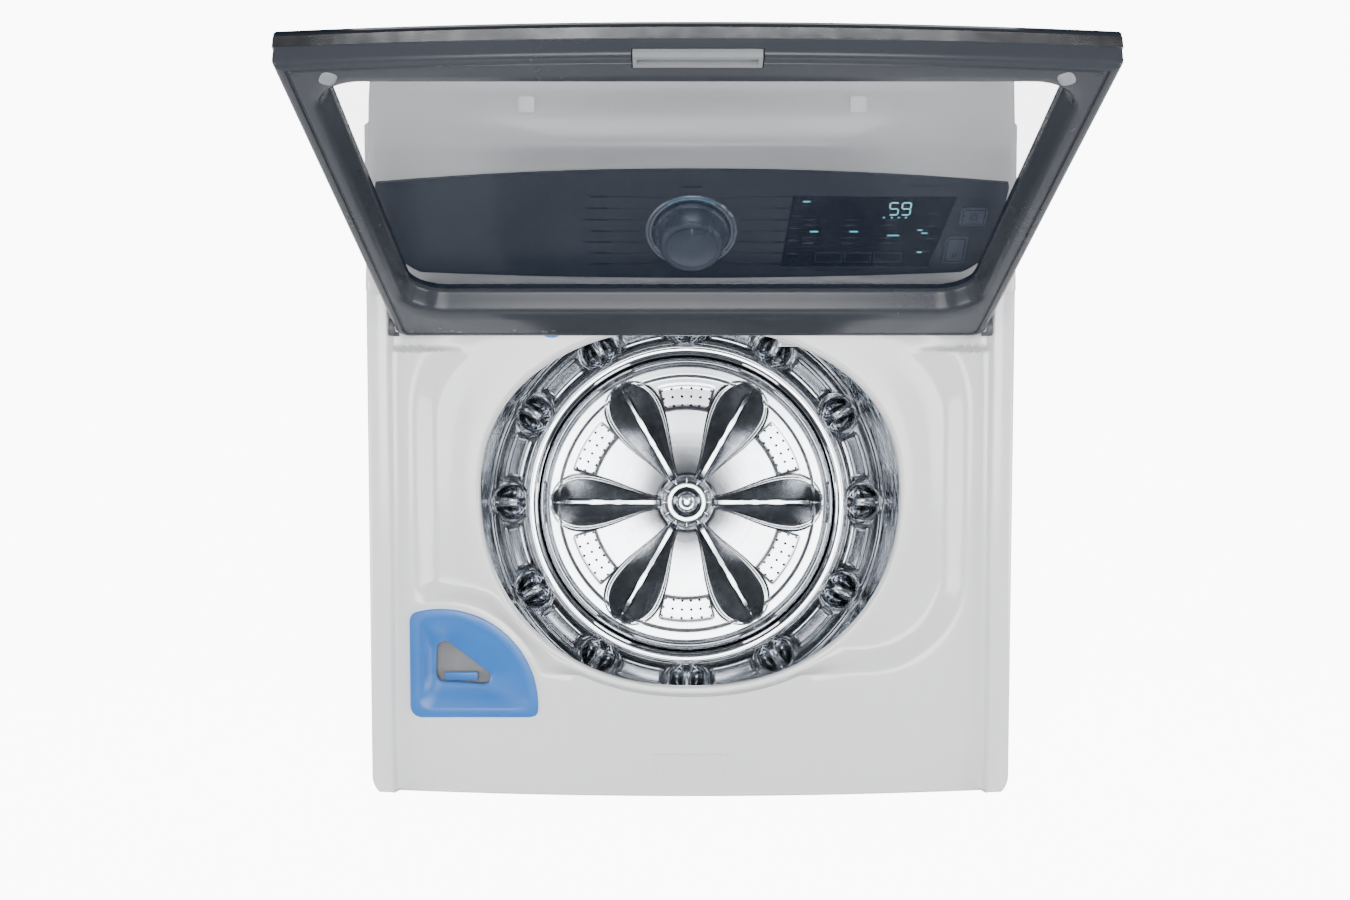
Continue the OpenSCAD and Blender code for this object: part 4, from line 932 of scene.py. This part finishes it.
def plateHeight(radius, turn):
    form = plateForm
    level = form["level"] + 5 * (radius / form["rim"]) ** 4
    level += form["bell"] * math.exp(-max(radius - form["hub"], 0) / form["bellReach"])
    lift = petalLift(radius, turn)
    # raised rim band with a groove inside its edge
    level += 1.6 * smoothStep((radius - form["rimBand"]) / 2.5)
    level -= 2.4 * math.exp(-((radius - form["rimGroove"]) / 1.6) ** 2)
    level -= 6 * smoothStep((radius - form["rimDrop"]) / 8) ** 2
    hub = form["hubHigh"] * smoothStep((form["hub"] + 4 - radius) / 15)
    ridge = 1.4 * math.exp(-((radius - form["ridge"]) / 1.3) ** 2)
    step = 2 * math.pi / form["petals"]
    off = abs((turn + step / 2) % step - step / 2)
    bar = 1.6 * smoothStep((0.145 - off) / 0.012) * smoothStep((2.6 - abs(radius - form["barAt"])) / 1.0)
    # a shallow pressed ring of the hole fields
    gap = abs(turn % step - step / 2)
    field = -0.9 * smoothStep((0.25 - gap) / 0.03)
    field *= smoothStep((form["fieldHalf"] - abs(radius - form["field"])) / 2.5)
    return level + max(lift, 0) + hub + ridge + bar + field


def makeWashPlate():
    form = plateForm
    count = form["around"]
    turns = [2 * math.pi * i / count for i in range(count)]
    radii = [form["bore"], 23, 26, 28, 29.5, 30.5, 31.5, 32.5, 34, 36, 38, 40, 42.5]
    radii += [45 + 2.4 * i for i in range(58)] + [184 + 1.35 * i for i in range(18)]
    radii = [r for r in radii if r < form["rim"]] + [form["rim"]]
    under = [(form["rim"], form["level"] - 6), (form["rim"] - 3, form["level"] - 6), (180, form["level"] - 3),
             (30, form["level"] - 3), (form["bore"], form["level"] - 3)]
    plate = polarSheet("wash_plate_pressing", radii, turns, plateHeight, under)
    finishPiece(plate, "wash_drive", finishes["plateSteel"], ["wash_plate"], 60)


holeForm = {"rows": ((139, 6), (151.5, 6), (163.5, 6)), "spread": 12.5, "radius": 2.1}


def makePlateHoles():
    # each hole is a dimple with a thin turned edge, coloured near-black as painted shade for the dark inside
    # an open hole; one is made and the rest are copies
    form = holeForm
    deselectAll()
    bpy.ops.mesh.primitive_circle_add(vertices=12, radius=form["radius"] * mm, fill_type="NGON")
    first = bpy.context.object
    bpy.ops.object.mode_set(mode="EDIT")
    bpy.ops.mesh.select_all(action="SELECT")
    bpy.ops.mesh.extrude_region_move(TRANSFORM_OT_translate={"value": (0, 0, 0.35 * mm)})
    bpy.ops.mesh.inset(thickness=0.5 * mm, depth=0)
    bpy.ops.transform.translate(value=(0, 0, -0.3 * mm))
    bpy.ops.object.mode_set(mode="OBJECT")
    holes = []
    for field in range(plateForm["petals"]):
        middle = (field + 0.5) * 360 / plateForm["petals"]
        for radius, count in form["rows"]:
            for i in range(count):
                turn = math.radians(middle + form["spread"] * (2 * i / (count - 1) - 1))
                hole = first.copy()
                hole.data = first.data.copy()
                bpy.context.collection.objects.link(hole)
                height = plateHeight(radius, turn) * mm
                hole.location = (tubCentre.x + radius * mm * math.cos(turn),
                                 tubCentre.y + radius * mm * math.sin(turn), height)
                holes.append(hole)
    bpy.data.objects.remove(first, do_unlink=True)
    holes = joinAll(holes, "wash_plate_holes")
    settle(holes)
    finishPiece(holes, "wash_drive", finishes["holePaintedShade"])


boltForm = {"profile": ((0, 22.5), (3.2, 22.5), (3.6, 26.8), (6.5, 27.2), (7.4, 29.6), (8.4, 30.4),
                        (10.4, 30.2), (11.6, 28.8), (12.1, 26.6),
                        (13.2, 24.2), (15.2, 22.4), (17.6, 21.8), (18.6, 21.2), (19.2, 19.6), (20.4, 19.2),
                        (21.2, 19.9), (22.0, 19.2), (22.3, 17.2), (22.3, 14.2), (0, 14.2))}


def makePlateBolt():
    # a turned cap in rings, with a socket for its key in the middle
    centre = (tubCentre.x / mm, tubCentre.y / mm)
    profile = [(r, plateForm["level"] + h) for r, h in boltForm["profile"]]
    cap = lathe("plate_bolt_cap", profile, centre, 120, closed=False)
    finishPiece(cap, "wash_drive", finishes["stainless"], ["plate_bolt"], 36)
    ribs = []
    for i in range(12):
        turn = Matrix.Rotation(math.radians(30 * i), 4, "Z")
        spot = Matrix.Translation(Vector((centre[0], centre[1], plateForm["level"] + 11)) * mm)
        ribs.append(platePiece("rib", (9, 2.2), (31.5, 0, 0), 8.2, spot @ turn, 0.8))
    finishPiece(joinAll(ribs, "plate_hub_ribs"), "wash_drive", finishes["stainless"], [], 36)


makePlateBolt()
makeBasketWall()
makeBasketBase()
makeWashPlate()
makePlateHoles()
# ---- lid: a deep rounded frame, a black glass border round a clear window, and its small parts ----
lidForm = {
    "half": 310.25, "tail": -8.6, "length": 503, "bow": 12, "corner": 14, "face": -8, "back": 16, "glass": 21,
    "windowHalf": 282, "windowStart": 62, "windowEnd": 459, "windowCorner": 34, "centre": (0, 262),
    "gripHalf": 48, "gripFrom": 487, "groove": 1.5,
}


def insideLid(x, s, inset):
    form = lidForm
    half = form["half"]
    endRadius = (half * half + form["bow"] ** 2) / (2 * form["bow"])
    box = (-half + inset, half - inset, form["tail"] + inset, form["length"] - inset)
    bowed = math.hypot(x, s - form["length"] + endRadius) <= endRadius - inset or s < 300
    return bowed and insideBox(x, s, box, max(form["corner"] - inset * 0.6, 2))


def insideWindow(x, s, grow):
    form = lidForm
    box = (-form["windowHalf"] - grow, form["windowHalf"] + grow, form["windowStart"] - grow,
           form["windowEnd"] + grow)
    return insideBox(x, s, box, form["windowCorner"] + grow)


def lidTurns():
    # directions from the window's middle, closer together at every corner
    form = lidForm
    turns = [math.radians(2 * i) for i in range(-90, 90)]
    for x in (-form["half"] + 5, form["half"] - 5):
        for s in (form["tail"] + 5, form["length"] - 12):
            corner = math.atan2(s - form["centre"][1], x)
            turns += [corner + math.radians(0.3 * i) for i in range(-10, 11)]
    for x in (-form["windowHalf"] + 12, form["windowHalf"] - 12):
        for s in (form["windowStart"] + 12, form["windowEnd"] - 12):
            corner = math.atan2(s - form["centre"][1], x)
            turns += [corner + math.radians(0.8 * i) for i in range(-9, 10)]
    return sorted({round(math.atan2(math.sin(a), math.cos(a)), 4) for a in turns})


def lidRing(turns, inside, amount, height):
    centre = lidForm["centre"]
    reaches = [rayLength(lambda x, s: inside(x, s, amount), centre, a) for a in turns]
    return [(centre[0] + r * math.cos(a), centre[1] + r * math.sin(a), height) for r,
            a in zip(reaches, turns)]


def blendRings(first, second, share, height):
    return [(a[0] + (b[0] - a[0]) * share, a[1] + (b[1] - a[1]) * share, height) for a,
            b in zip(first, second)]


def makeLidFrame():
    form = lidForm
    turns = lidTurns()
    face, back = form["face"], form["back"]

    def outer(inset, height):
        return lidRing(turns, insideLid, inset, height)

    def window(grow, height):
        return lidRing(turns, insideWindow, grow, height)

    rim, edge = outer(12, face), window(14, face)
    rings = [outer(0.7, back - 0.05), outer(0.7, face + 5), outer(1.3, face + 2.6), outer(3, face + 0.8),
             outer(5.5, face), outer(8.2, face), outer(8.8, face + 0.5), outer(9.2, face + form["groove"]),
             outer(10.4, face + form["groove"]), outer(10.8, face + 0.5), outer(11.4, face),
             blendRings(rim, edge, 0.3, face), blendRings(rim, edge, 0.7, face), window(11, face + 0.3),
             window(8.6, face + 1.4), window(6.8, face + 3.4), window(5.4, face + 7), window(3.4, face + 13),
             window(1.8, face + 18.2), window(1.0, face + 20.4), window(0.4, face + 21),
             window(0.4, back - 0.05),
             window(6, back - 0.05), outer(14, back - 0.05)]
    lidShell = loft("lid_frame_shell", rings, lidPlace)
    cutter = platePiece("gripCut", (2 * form["gripHalf"], 60), (0, form["gripFrom"] + 30, face - 1), 8,
                        lidPlace)
    cutWith(lidShell, cutter)
    for side in (-1, 1):
        pinHole = platePiece("tailCut", (15, 20), (side * (form["half"] - 2), -14, face - 1), 5, lidPlace, 1)
        cutWith(lidShell, pinHole)
    return finishPiece(lidShell, "lid", finishes["lid_plastic"], ["lid_frame"], 34)


def makeLidGlass():
    form = lidForm
    turns = lidTurns()
    low, high = form["back"], form["glass"]

    def outer(inset, height):
        return lidRing(turns, insideLid, inset, height)

    def window(grow, height):
        return lidRing(turns, insideWindow, grow, height)

    border = loft("lid_glass_border", [outer(0.3, low + 0.3), outer(0, low + 1), outer(0, high - 1.4),
                                       outer(0.5, high - 0.4),
                                       outer(1.5, high), window(0.5, high), window(0.5, low),
                                       outer(1, low)], lidPlace)
    finishPiece(border, "lid", finishes["borderGlass"], ["lid_glass"], 30)
    middle = form["centre"]
    count = len(turns)
    pane = loft("lid_window_pane", [[middle + (high,)] * count, window(-60, high), window(0.4, high),
                                    window(0.4, low),
                                    window(-60, low), [middle + (low,)] * count], lidPlace, closed=False)
    finishPiece(pane, "lid", finishes["lid_glass"], [], 30)


bumperForm = {"x": 272, "s": 473, "long": 18, "wide": 13, "base": -9.5, "high": 5}


def makeBumpers():
    # soft lozenges on the frame's free corners
    pieces = []
    for side in (-1, 1):
        deselectAll()
        bpy.ops.mesh.primitive_uv_sphere_add(segments=28, ring_count=14, radius=1)
        bumper = bpy.context.object
        for point in bumper.data.vertices:
            x, y, z = point.co
            swell = (abs(x) ** 3 + abs(y) ** 3) ** (1 / 3) if z * z < 0.98 else 1
            flat = math.hypot(x, y) / swell if swell > 0.01 else 1
            point.co = Vector((x * flat * bumperForm["wide"] / 2, y * flat * bumperForm["long"] / 2,
                               max(z, -1) * 2.4)) * mm
        turn = Matrix.Rotation(math.radians(side * 28), 4, "Z")
        spot = Matrix.Translation(Vector((side * bumperForm["x"], bumperForm["s"],
                                          bumperForm["base"] + 2.3)) * mm)
        settle(bumper, lidPlace @ spot @ turn)
        cleanMesh(bumper)
        pieces.append(bumper)
    bumpers = joinAll(pieces, "lid_bumper_pads")
    finishPiece(bumpers, "lid", finishes["bumperGrey"], ["lid_bumpers"], 60)


makeLidFrame()
makeLidGlass()
makeBumpers()
# ---- console: a rounded white housing behind the lid, its dark panel, display, prints and knob ----
consoleForm = {"lipBack": 39, "rear": 371.5, "top": 1130, "lean": 13, "half": 343, "soft": 9, "coverGap": 3.2,
               "panelLength": 138}
printForm = {"thin": 0.5, "proud": 0.16, "sunk": 0.1, "step": 14.5, "rows": 7, "labelHigh": 3.4,
             "panelTop": 3.0,
             "knobUp": 62}


def makeHousing():
    # the side view is drawn as a flat face, pulled across, and trimmed by two leaning cuts
    form = consoleForm
    hingeY, hingeZ = deckOrigin.y / mm, deckOrigin.z / mm
    panelY, panelZ = panelOrigin.y / mm, panelOrigin.z / mm
    run = form["panelLength"] * math.cos(math.radians(slopes["panel"]))
    rise = form["panelLength"] * math.sin(math.radians(slopes["panel"]))
    lipY, rear, top = hingeY + form["lipBack"], form["rear"] - form["coverGap"], form["top"]
    low = hingeZ - 30
    profile = [(lipY, low), (lipY, panelZ - 8), (panelY - 4, panelZ - 4),
               (panelY + run + 1, panelZ + rise + 1),
               (panelY + run + 16, top - 6), (rear - 40, top), (rear - 12, top - 8), (rear, top - 30),
               (rear, low)]
    deselectAll()
    bpy.ops.mesh.primitive_circle_add(vertices=len(profile), radius=1, fill_type="NGON")
    housing = bpy.context.object
    housing.name = "console_shell"
    for point, (y, z) in zip(housing.data.vertices, profile):
        point.co = Vector((-form["half"], y, z)) * mm
    bpy.ops.object.mode_set(mode="EDIT")
    bpy.ops.mesh.select_all(action="SELECT")
    bpy.ops.mesh.extrude_region_move(TRANSFORM_OT_translate={"value": (2 * form["half"] * mm, 0, 0)})
    lean = math.radians(form["lean"])
    for side in (-1, 1):
        bpy.ops.mesh.select_all(action="SELECT")
        bpy.ops.mesh.bisect(plane_co=(side * form["half"] * mm, 0, deckOrigin.z),
                            plane_no=(side * math.cos(lean), 0, math.sin(lean)), use_fill=True,
                            clear_outer=True)
    tilt = math.radians(slopes["deck"])
    bpy.ops.mesh.select_all(action="SELECT")
    bpy.ops.mesh.bisect(plane_co=deckOrigin + Vector((0, 0, 0.0004)),
                        plane_no=(0, -math.sin(tilt), math.cos(tilt)),
                        use_fill=True, clear_inner=True)
    bpy.ops.object.mode_set(mode="OBJECT")
    cleanMesh(housing)
    softEdges(housing, form["soft"], 5, 12)
    for x in (-158, 158):
        seat = Matrix.Translation(Vector((x, 321.5, 1128.75)) * mm) @ Matrix.Rotation(math.radians(10), 4,
                "X")
        pocket = platePiece("capPocket", (15.2, 15.2), (0, 0, -0.1), 8, seat, 0)
        cutWith(housing, pocket)
    finishPiece(housing, "cabinet", finishes["white_plastic"], ["console_housing"], 34)


def panelBar(x, e, wide, high, lean=0.0):
    return platePiece("bar", (wide, high), (x, e, printForm["panelTop"] - printForm["sunk"]),
                      printForm["sunk"] + printForm["proud"], panelPlace, 0, lean)


def leaderLine(points):
    # a thin drawn line from one point to the next
    bars = []
    for (ax, ae), (bx, be) in zip(points, points[1:]):
        length = math.hypot(bx - ax, be - ae)
        turn = Matrix.Rotation(math.atan2(be - ae, bx - ax), 4, "Z")
        spot = Matrix.Translation(Vector(((ax + bx) / 2, (ae + be) / 2, 0)) * mm)
        bars.append(platePiece("line", (length, printForm["thin"]),
                               (0, 0, printForm["panelTop"] - printForm["sunk"]),
                               printForm["sunk"] + printForm["proud"], panelPlace @ spot @ turn))
    return bars


def makePanelPrints():
    # plain dashes stand where a programme's name would be, each with its line to the knob
    rng = random.Random(7)
    form = printForm
    marks = []
    up = form["knobUp"]
    for side in (-1, 1):
        for row in range(form["rows"]):
            e = up - 43 + row * form["step"]
            label = 18 + rng.random() * 16
            start = side * 80
            marks.append(panelBar(side * (82 + label / 2), e, label, form["labelHigh"] * 0.55))
            turn = math.asin(max(-0.93, min(0.93, (e - up) / 52)))
            end = (side * 48.5 * math.cos(turn), up + 48.5 * math.sin(turn))
            elbow = (side * max(52, 60 - abs(row - 3) * 3), e)
            marks += leaderLine([(start, e), elbow, end])
    marks.append(panelBar(0, up + 56, 22, form["labelHigh"] * 0.55))
    for i in range(5):
        marks.append(panelBar(104 + i * 32, 10.5, 13, 1.1))
    marks.append(panelBar(231, 119, 58, 1.1))
    marks.append(panelBar(281, 100, 15, 1.8))
    finishPiece(joinAll(marks, "panel_print"), "cabinet", finishes["print"])


segmentSpots = {"a": (0, 1, True), "b": (0.5, 0.5, False), "c": (0.5, -0.5, False), "d": (0, -1, True),
                "e": (-0.5, -0.5, False), "f": (-0.5, 0.5, False), "g": (0, 0, True)}
digitSegments = {5: "afgcd", 9: "abcdfg"}
displayForm = {"digitWide": 8.5, "digitHigh": 15, "digitAt": (200, 91), "level": 3.32, "stroke": 1.5}


def displayBar(x, e, wide, high, name="glow"):
    return platePiece(name, (wide, high), (x, e, displayForm["level"] - 0.12), 0.24, panelPlace)


def makeDisplayMarks():
    form = displayForm
    lit = []
    for place, digit in enumerate((5, 9)):
        middle = form["digitAt"][0] + place * 12
        for key in digitSegments[digit]:
            offX, offE, flat = segmentSpots[key]
            x = middle + offX * form["digitWide"]
            e = form["digitAt"][1] + offE * form["digitHigh"] / 2
            wide = form["digitWide"] - form["stroke"] if flat else form["stroke"]
            high = form["stroke"] if flat else form["digitHigh"] / 2 - form["stroke"]
            lit.append(displayBar(x, e, wide, high))
    for x, e, wide in ((113, 100, 7), (123, 62, 8), (163, 62, 8), (203, 57, 12), (206, 80, 2), (213, 80, 2),
                       (199, 80, 2), (191, 80, 2), (234, 60, 6), (232, 35, 5), (229, 64, 5)):
        lit.append(displayBar(x, e, wide, 1.3))
    finishPiece(joinAll(lit, "display_lights"), "cabinet", finishes["glow"])
    soft = []
    for left, right in ((127, 154), (157, 183), (187, 214)):
        middle = (left + right) / 2
        for x, e, wide, high in ((middle, 22, right - left, 0.7), (middle, 34, right - left, 0.7),
                                 (left, 28, 0.7, 12.7), (right, 28, 0.7, 12.7)):
            soft.append(displayBar(x, e, wide, high))
    for e in (47, 54, 70, 77):
        for x in (118, 158, 198):
            soft.append(displayBar(x, e, 11, 0.9))
    for e in (33, 50, 66, 82):
        soft.append(displayBar(103, e, 9, 0.9))
        soft.append(displayBar(240, e + 3, 9, 0.9))
    finishPiece(joinAll(soft, "display_keys"), "cabinet", finishes["dimPrint"])


def makeKnob():
    # a turned profile, with a small pointer on its face and a stem below
    at = (0, printForm["knobUp"])
    base = 3.5
    profile = [(0, base - 0.05), (34.5, base - 0.05), (37.2, base + 0.1), (37.9, base + 0.9),
               (37.9, base + 3.4), (37.2, base + 4.6),
               (35.8, base + 6), (33.6, base + 15), (31.9, base + 21.6), (31.2, base + 23.6),
               (29.8, base + 25.0),
               (28.0, base + 25.55), (26.6, base + 25.5), (25.6, base + 24.9), (24, base + 24.5),
               (12, base + 24.2),
               (0, base + 24.1)]
    knob = lathe("programme_knob", profile, at, 160, panelPlace, closed=False)
    finishPiece(knob, "knob", finishes["knob_grey"], ["knob"], 30)
    pointer = platePiece("knob_pointer", (1.6, 7), (at[0], at[1] + 20.5, base + 24.2), 0.5, panelPlace, 0.2)
    finishPiece(pointer, "knob", finishes["knobRing"])
    stem = lathe("knob_stem", [(0, -7.9), (2.9, -7.9), (2.9, base + 1), (0, base + 1)], at, 32, panelPlace,
                 closed=False)
    finishPiece(stem, "knob", finishes["knob_grey"])


def makeKnobRing():
    # the ring round the knob: a pale bezel with a lit arc let into its top
    at = (0, printForm["knobUp"])
    top = printForm["panelTop"]
    profile = [(46, top - 0.05), (46, top + 0.9), (45.5, top + 1.6), (44.4, top + 1.95), (43.4, top + 1.7),
               (42.6, top + 1.1),
               (41.6, top + 0.9), (40.9, top + 1.3), (40.1, top + 1.2), (40, top - 0.05)]
    ringPiece = lathe("knob_bezel", profile, at, 160, panelPlace)
    finishPiece(ringPiece, "cabinet", finishes["knobRing"], ["knob_ring"], 40)
    arc = []
    for i in range(25):
        turn = math.radians(58 + i * 64 / 24)
        spot = Matrix.Translation(Vector((at[0] + 42.1 * math.cos(turn), at[1] + 42.1 * math.sin(turn),
                                          0)) * mm)
        spin = Matrix.Rotation(turn + math.pi / 2, 4, "Z")
        arc.append(platePiece("arc", (2.1, 0.9), (0, 0, top + 0.95), 0.32, panelPlace @ spot @ spin))
    finishPiece(joinAll(arc, "knob_light_arc"), "cabinet", finishes["arcGlow"])


buttonForm = {
    "top": 4.0, "sunk": 0.08, "thick": 0.2, "line": 0.7, "inset": 2.2, "iconRadius": 3.4, "iconParts": 20,
    "power": {"at": (280, 81), "half": (13, 11)}, "start": {"at": (268, 38), "half": (11, 17)},
}


def buttonBar(x, e, wide, high, turn=0.0):
    form = buttonForm
    spot = Matrix.Translation(Vector((x, e, 0)) * mm) @ Matrix.Rotation(turn, 4, "Z")
    return platePiece("mark", (wide, high), (0, 0, form["top"] - form["sunk"]), form["thick"],
                      panelPlace @ spot)


def buttonFrame(look):
    # a thin line just inside the button's edge
    (x, e), (halfWide, halfHigh), line = look["at"], look["half"], buttonForm["line"]
    wide, high = halfWide - buttonForm["inset"], halfHigh - buttonForm["inset"]
    return [buttonBar(x, e - high, 2 * wide, line), buttonBar(x, e + high, 2 * wide, line),
            buttonBar(x - wide, e, line, 2 * high - line), buttonBar(x + wide, e, line, 2 * high - line)]


def makeButtonMarks():
    # an open ring with a bar on one button, two bars on the other
    form = buttonForm
    x, e = form["power"]["at"]
    marks = buttonFrame(form["power"]) + [buttonBar(x, e + form["iconRadius"], form["line"], 3.6)]
    for i in range(form["iconParts"]):
        turn = math.radians(125 + i * 290 / (form["iconParts"] - 1))
        marks.append(buttonBar(x + form["iconRadius"] * math.cos(turn),
                               e + form["iconRadius"] * math.sin(turn),
                               1.2, form["line"], turn + math.pi / 2))
    finishPiece(joinAll(marks, "power_mark"), "power_button", finishes["print"])
    x, e = form["start"]["at"]
    marks = buttonFrame(form["start"]) + [buttonBar(x - 1.6, e - 7, 1, 5), buttonBar(x + 1.6, e - 7, 1, 5)]
    finishPiece(joinAll(marks, "start_mark"), "start_button", finishes["print"])


makeHousing()
makePanelPrints()
makeButtonMarks()
makeDisplayMarks()
makeKnob()
makeKnobRing()
# ---- floor, lights and camera ----
studio = {
    "camera": (-0.01645, -0.0938, 2.4509), "cameraTilt": 3.707, "lens": 37.663, "floorGlow": 9.0,
    "overhead": {"place": (0.0, -0.1, 3.3), "size": (1.15, 0.95), "power": 50, "aim": (0.0, -0.05, 0.9)},
    "leftStrip": {"place": (-1.9, -0.4, 1.9), "size": (0.5, 1.6), "power": 34, "aim": (0.0, 0.0, 0.9)},
    "rightStrip": {"place": (1.9, -0.4, 1.9), "size": (0.5, 1.6), "power": 34, "aim": (0.0, 0.0, 0.9)},
    "front": {"place": (0.0, -2.6, 1.5), "size": (2.0, 0.8), "power": 22, "aim": (0.0, 0.0, 0.7)},
    "rear": {"place": (0.0, 2.2, 2.2), "size": (1.8, 0.9), "power": 22, "aim": (0.0, 0.2, 1.0)},
}


def addSoftbox(name, look):
    bpy.ops.object.light_add(type="AREA", location=look["place"])
    lamp = bpy.context.object
    lamp.name = name
    lamp.data.shape = "RECTANGLE"
    lamp.data.size, lamp.data.size_y = look["size"]
    lamp.data.energy = look["power"]
    facing = Vector(look["aim"]) - Vector(look["place"])
    lamp.rotation_euler = facing.to_track_quat("-Z", "Y").to_euler()


def makeFloor():
    deselectAll()
    bpy.ops.mesh.primitive_plane_add(size=40, location=(0, 0, cadLow.z))
    floor = bpy.context.object
    floor.name = "studioFloor"
    material, tree, shader, spot = startMaterial("paleFloor")
    patches = placeEffect(tree, "patches", spot, Scale=0.7)
    tree.links.new(mixColours(tree, patches.outputs[0], (0.93, 0.93, 0.935), (0.95, 0.95, 0.95)),
                   shader.inputs["Base Color"])
    shader.inputs["Roughness"].default_value = 0.9
    # only the camera sees the glow, so it whitens the floor without lighting the machine
    lit = tree.nodes.new("ShaderNodeEmission")
    lit.inputs["Strength"].default_value = studio["floorGlow"]
    path = tree.nodes.new("ShaderNodeLightPath")
    glow = tree.nodes.new("ShaderNodeMixShader")
    both = tree.nodes.new("ShaderNodeAddShader")
    output = tree.nodes["Material Output"]
    tree.links.new(shader.outputs[0], both.inputs[0])
    tree.links.new(lit.outputs[0], both.inputs[1])
    tree.links.new(path.outputs["Is Camera Ray"], glow.inputs[0])
    tree.links.new(shader.outputs[0], glow.inputs[1])
    tree.links.new(both.outputs[0], glow.inputs[2])
    tree.links.new(glow.outputs[0], output.inputs["Surface"])
    floor.data.materials.append(material)


def makeSky():
    # pale all round for the eye, darker towards the horizon for what the steel mirrors
    world = bpy.data.worlds.new("studioSky")
    bpy.context.scene.world = world
    world.use_nodes = True
    tree = world.node_tree
    sky = tree.nodes["Background"]
    sky.inputs["Color"].default_value = (0.93, 0.95, 1.0, 1)
    sky.inputs["Strength"].default_value = 0.3
    mirrored = tree.nodes.new("ShaderNodeBackground")
    spot = tree.nodes.new("ShaderNodeTexCoord")
    split = tree.nodes.new("ShaderNodeSeparateXYZ")
    tree.links.new(spot.outputs["Generated"], split.inputs[0])
    height = addRange(tree, split.outputs["Z"], 0.55, 0.98, 0.012, 0.36)
    tree.links.new(height, mirrored.inputs["Strength"])
    mirrored.inputs["Color"].default_value = (0.85, 0.9, 1.0, 1)
    path = tree.nodes.new("ShaderNodeLightPath")
    mix = tree.nodes.new("ShaderNodeMixShader")
    tree.links.new(path.outputs["Is Glossy Ray"], mix.inputs[0])
    tree.links.new(sky.outputs[0], mix.inputs[1])
    tree.links.new(mirrored.outputs[0], mix.inputs[2])
    seen = tree.nodes.new("ShaderNodeBackground")
    seen.inputs["Color"].default_value = (0.97, 0.98, 1.0, 1)
    seen.inputs["Strength"].default_value = studio["floorGlow"]
    choose = tree.nodes.new("ShaderNodeMixShader")
    tree.links.new(path.outputs["Is Camera Ray"], choose.inputs[0])
    tree.links.new(mix.outputs[0], choose.inputs[1])
    tree.links.new(seen.outputs[0], choose.inputs[2])
    tree.links.new(choose.outputs[0], tree.nodes["World Output"].inputs["Surface"])


makeFloor()
makeSky()
for boxName in ("overhead", "leftStrip", "rightStrip", "front", "rear"):
    addSoftbox(boxName, studio[boxName])
bpy.ops.object.camera_add(location=studio["camera"], rotation=(math.radians(studio["cameraTilt"]), 0, 0))
camera = bpy.context.object
camera.data.lens = studio["lens"]
camera.data.sensor_width = 36
camera.data.clip_end = 60
bpy.context.scene.camera = camera
print("stage set")
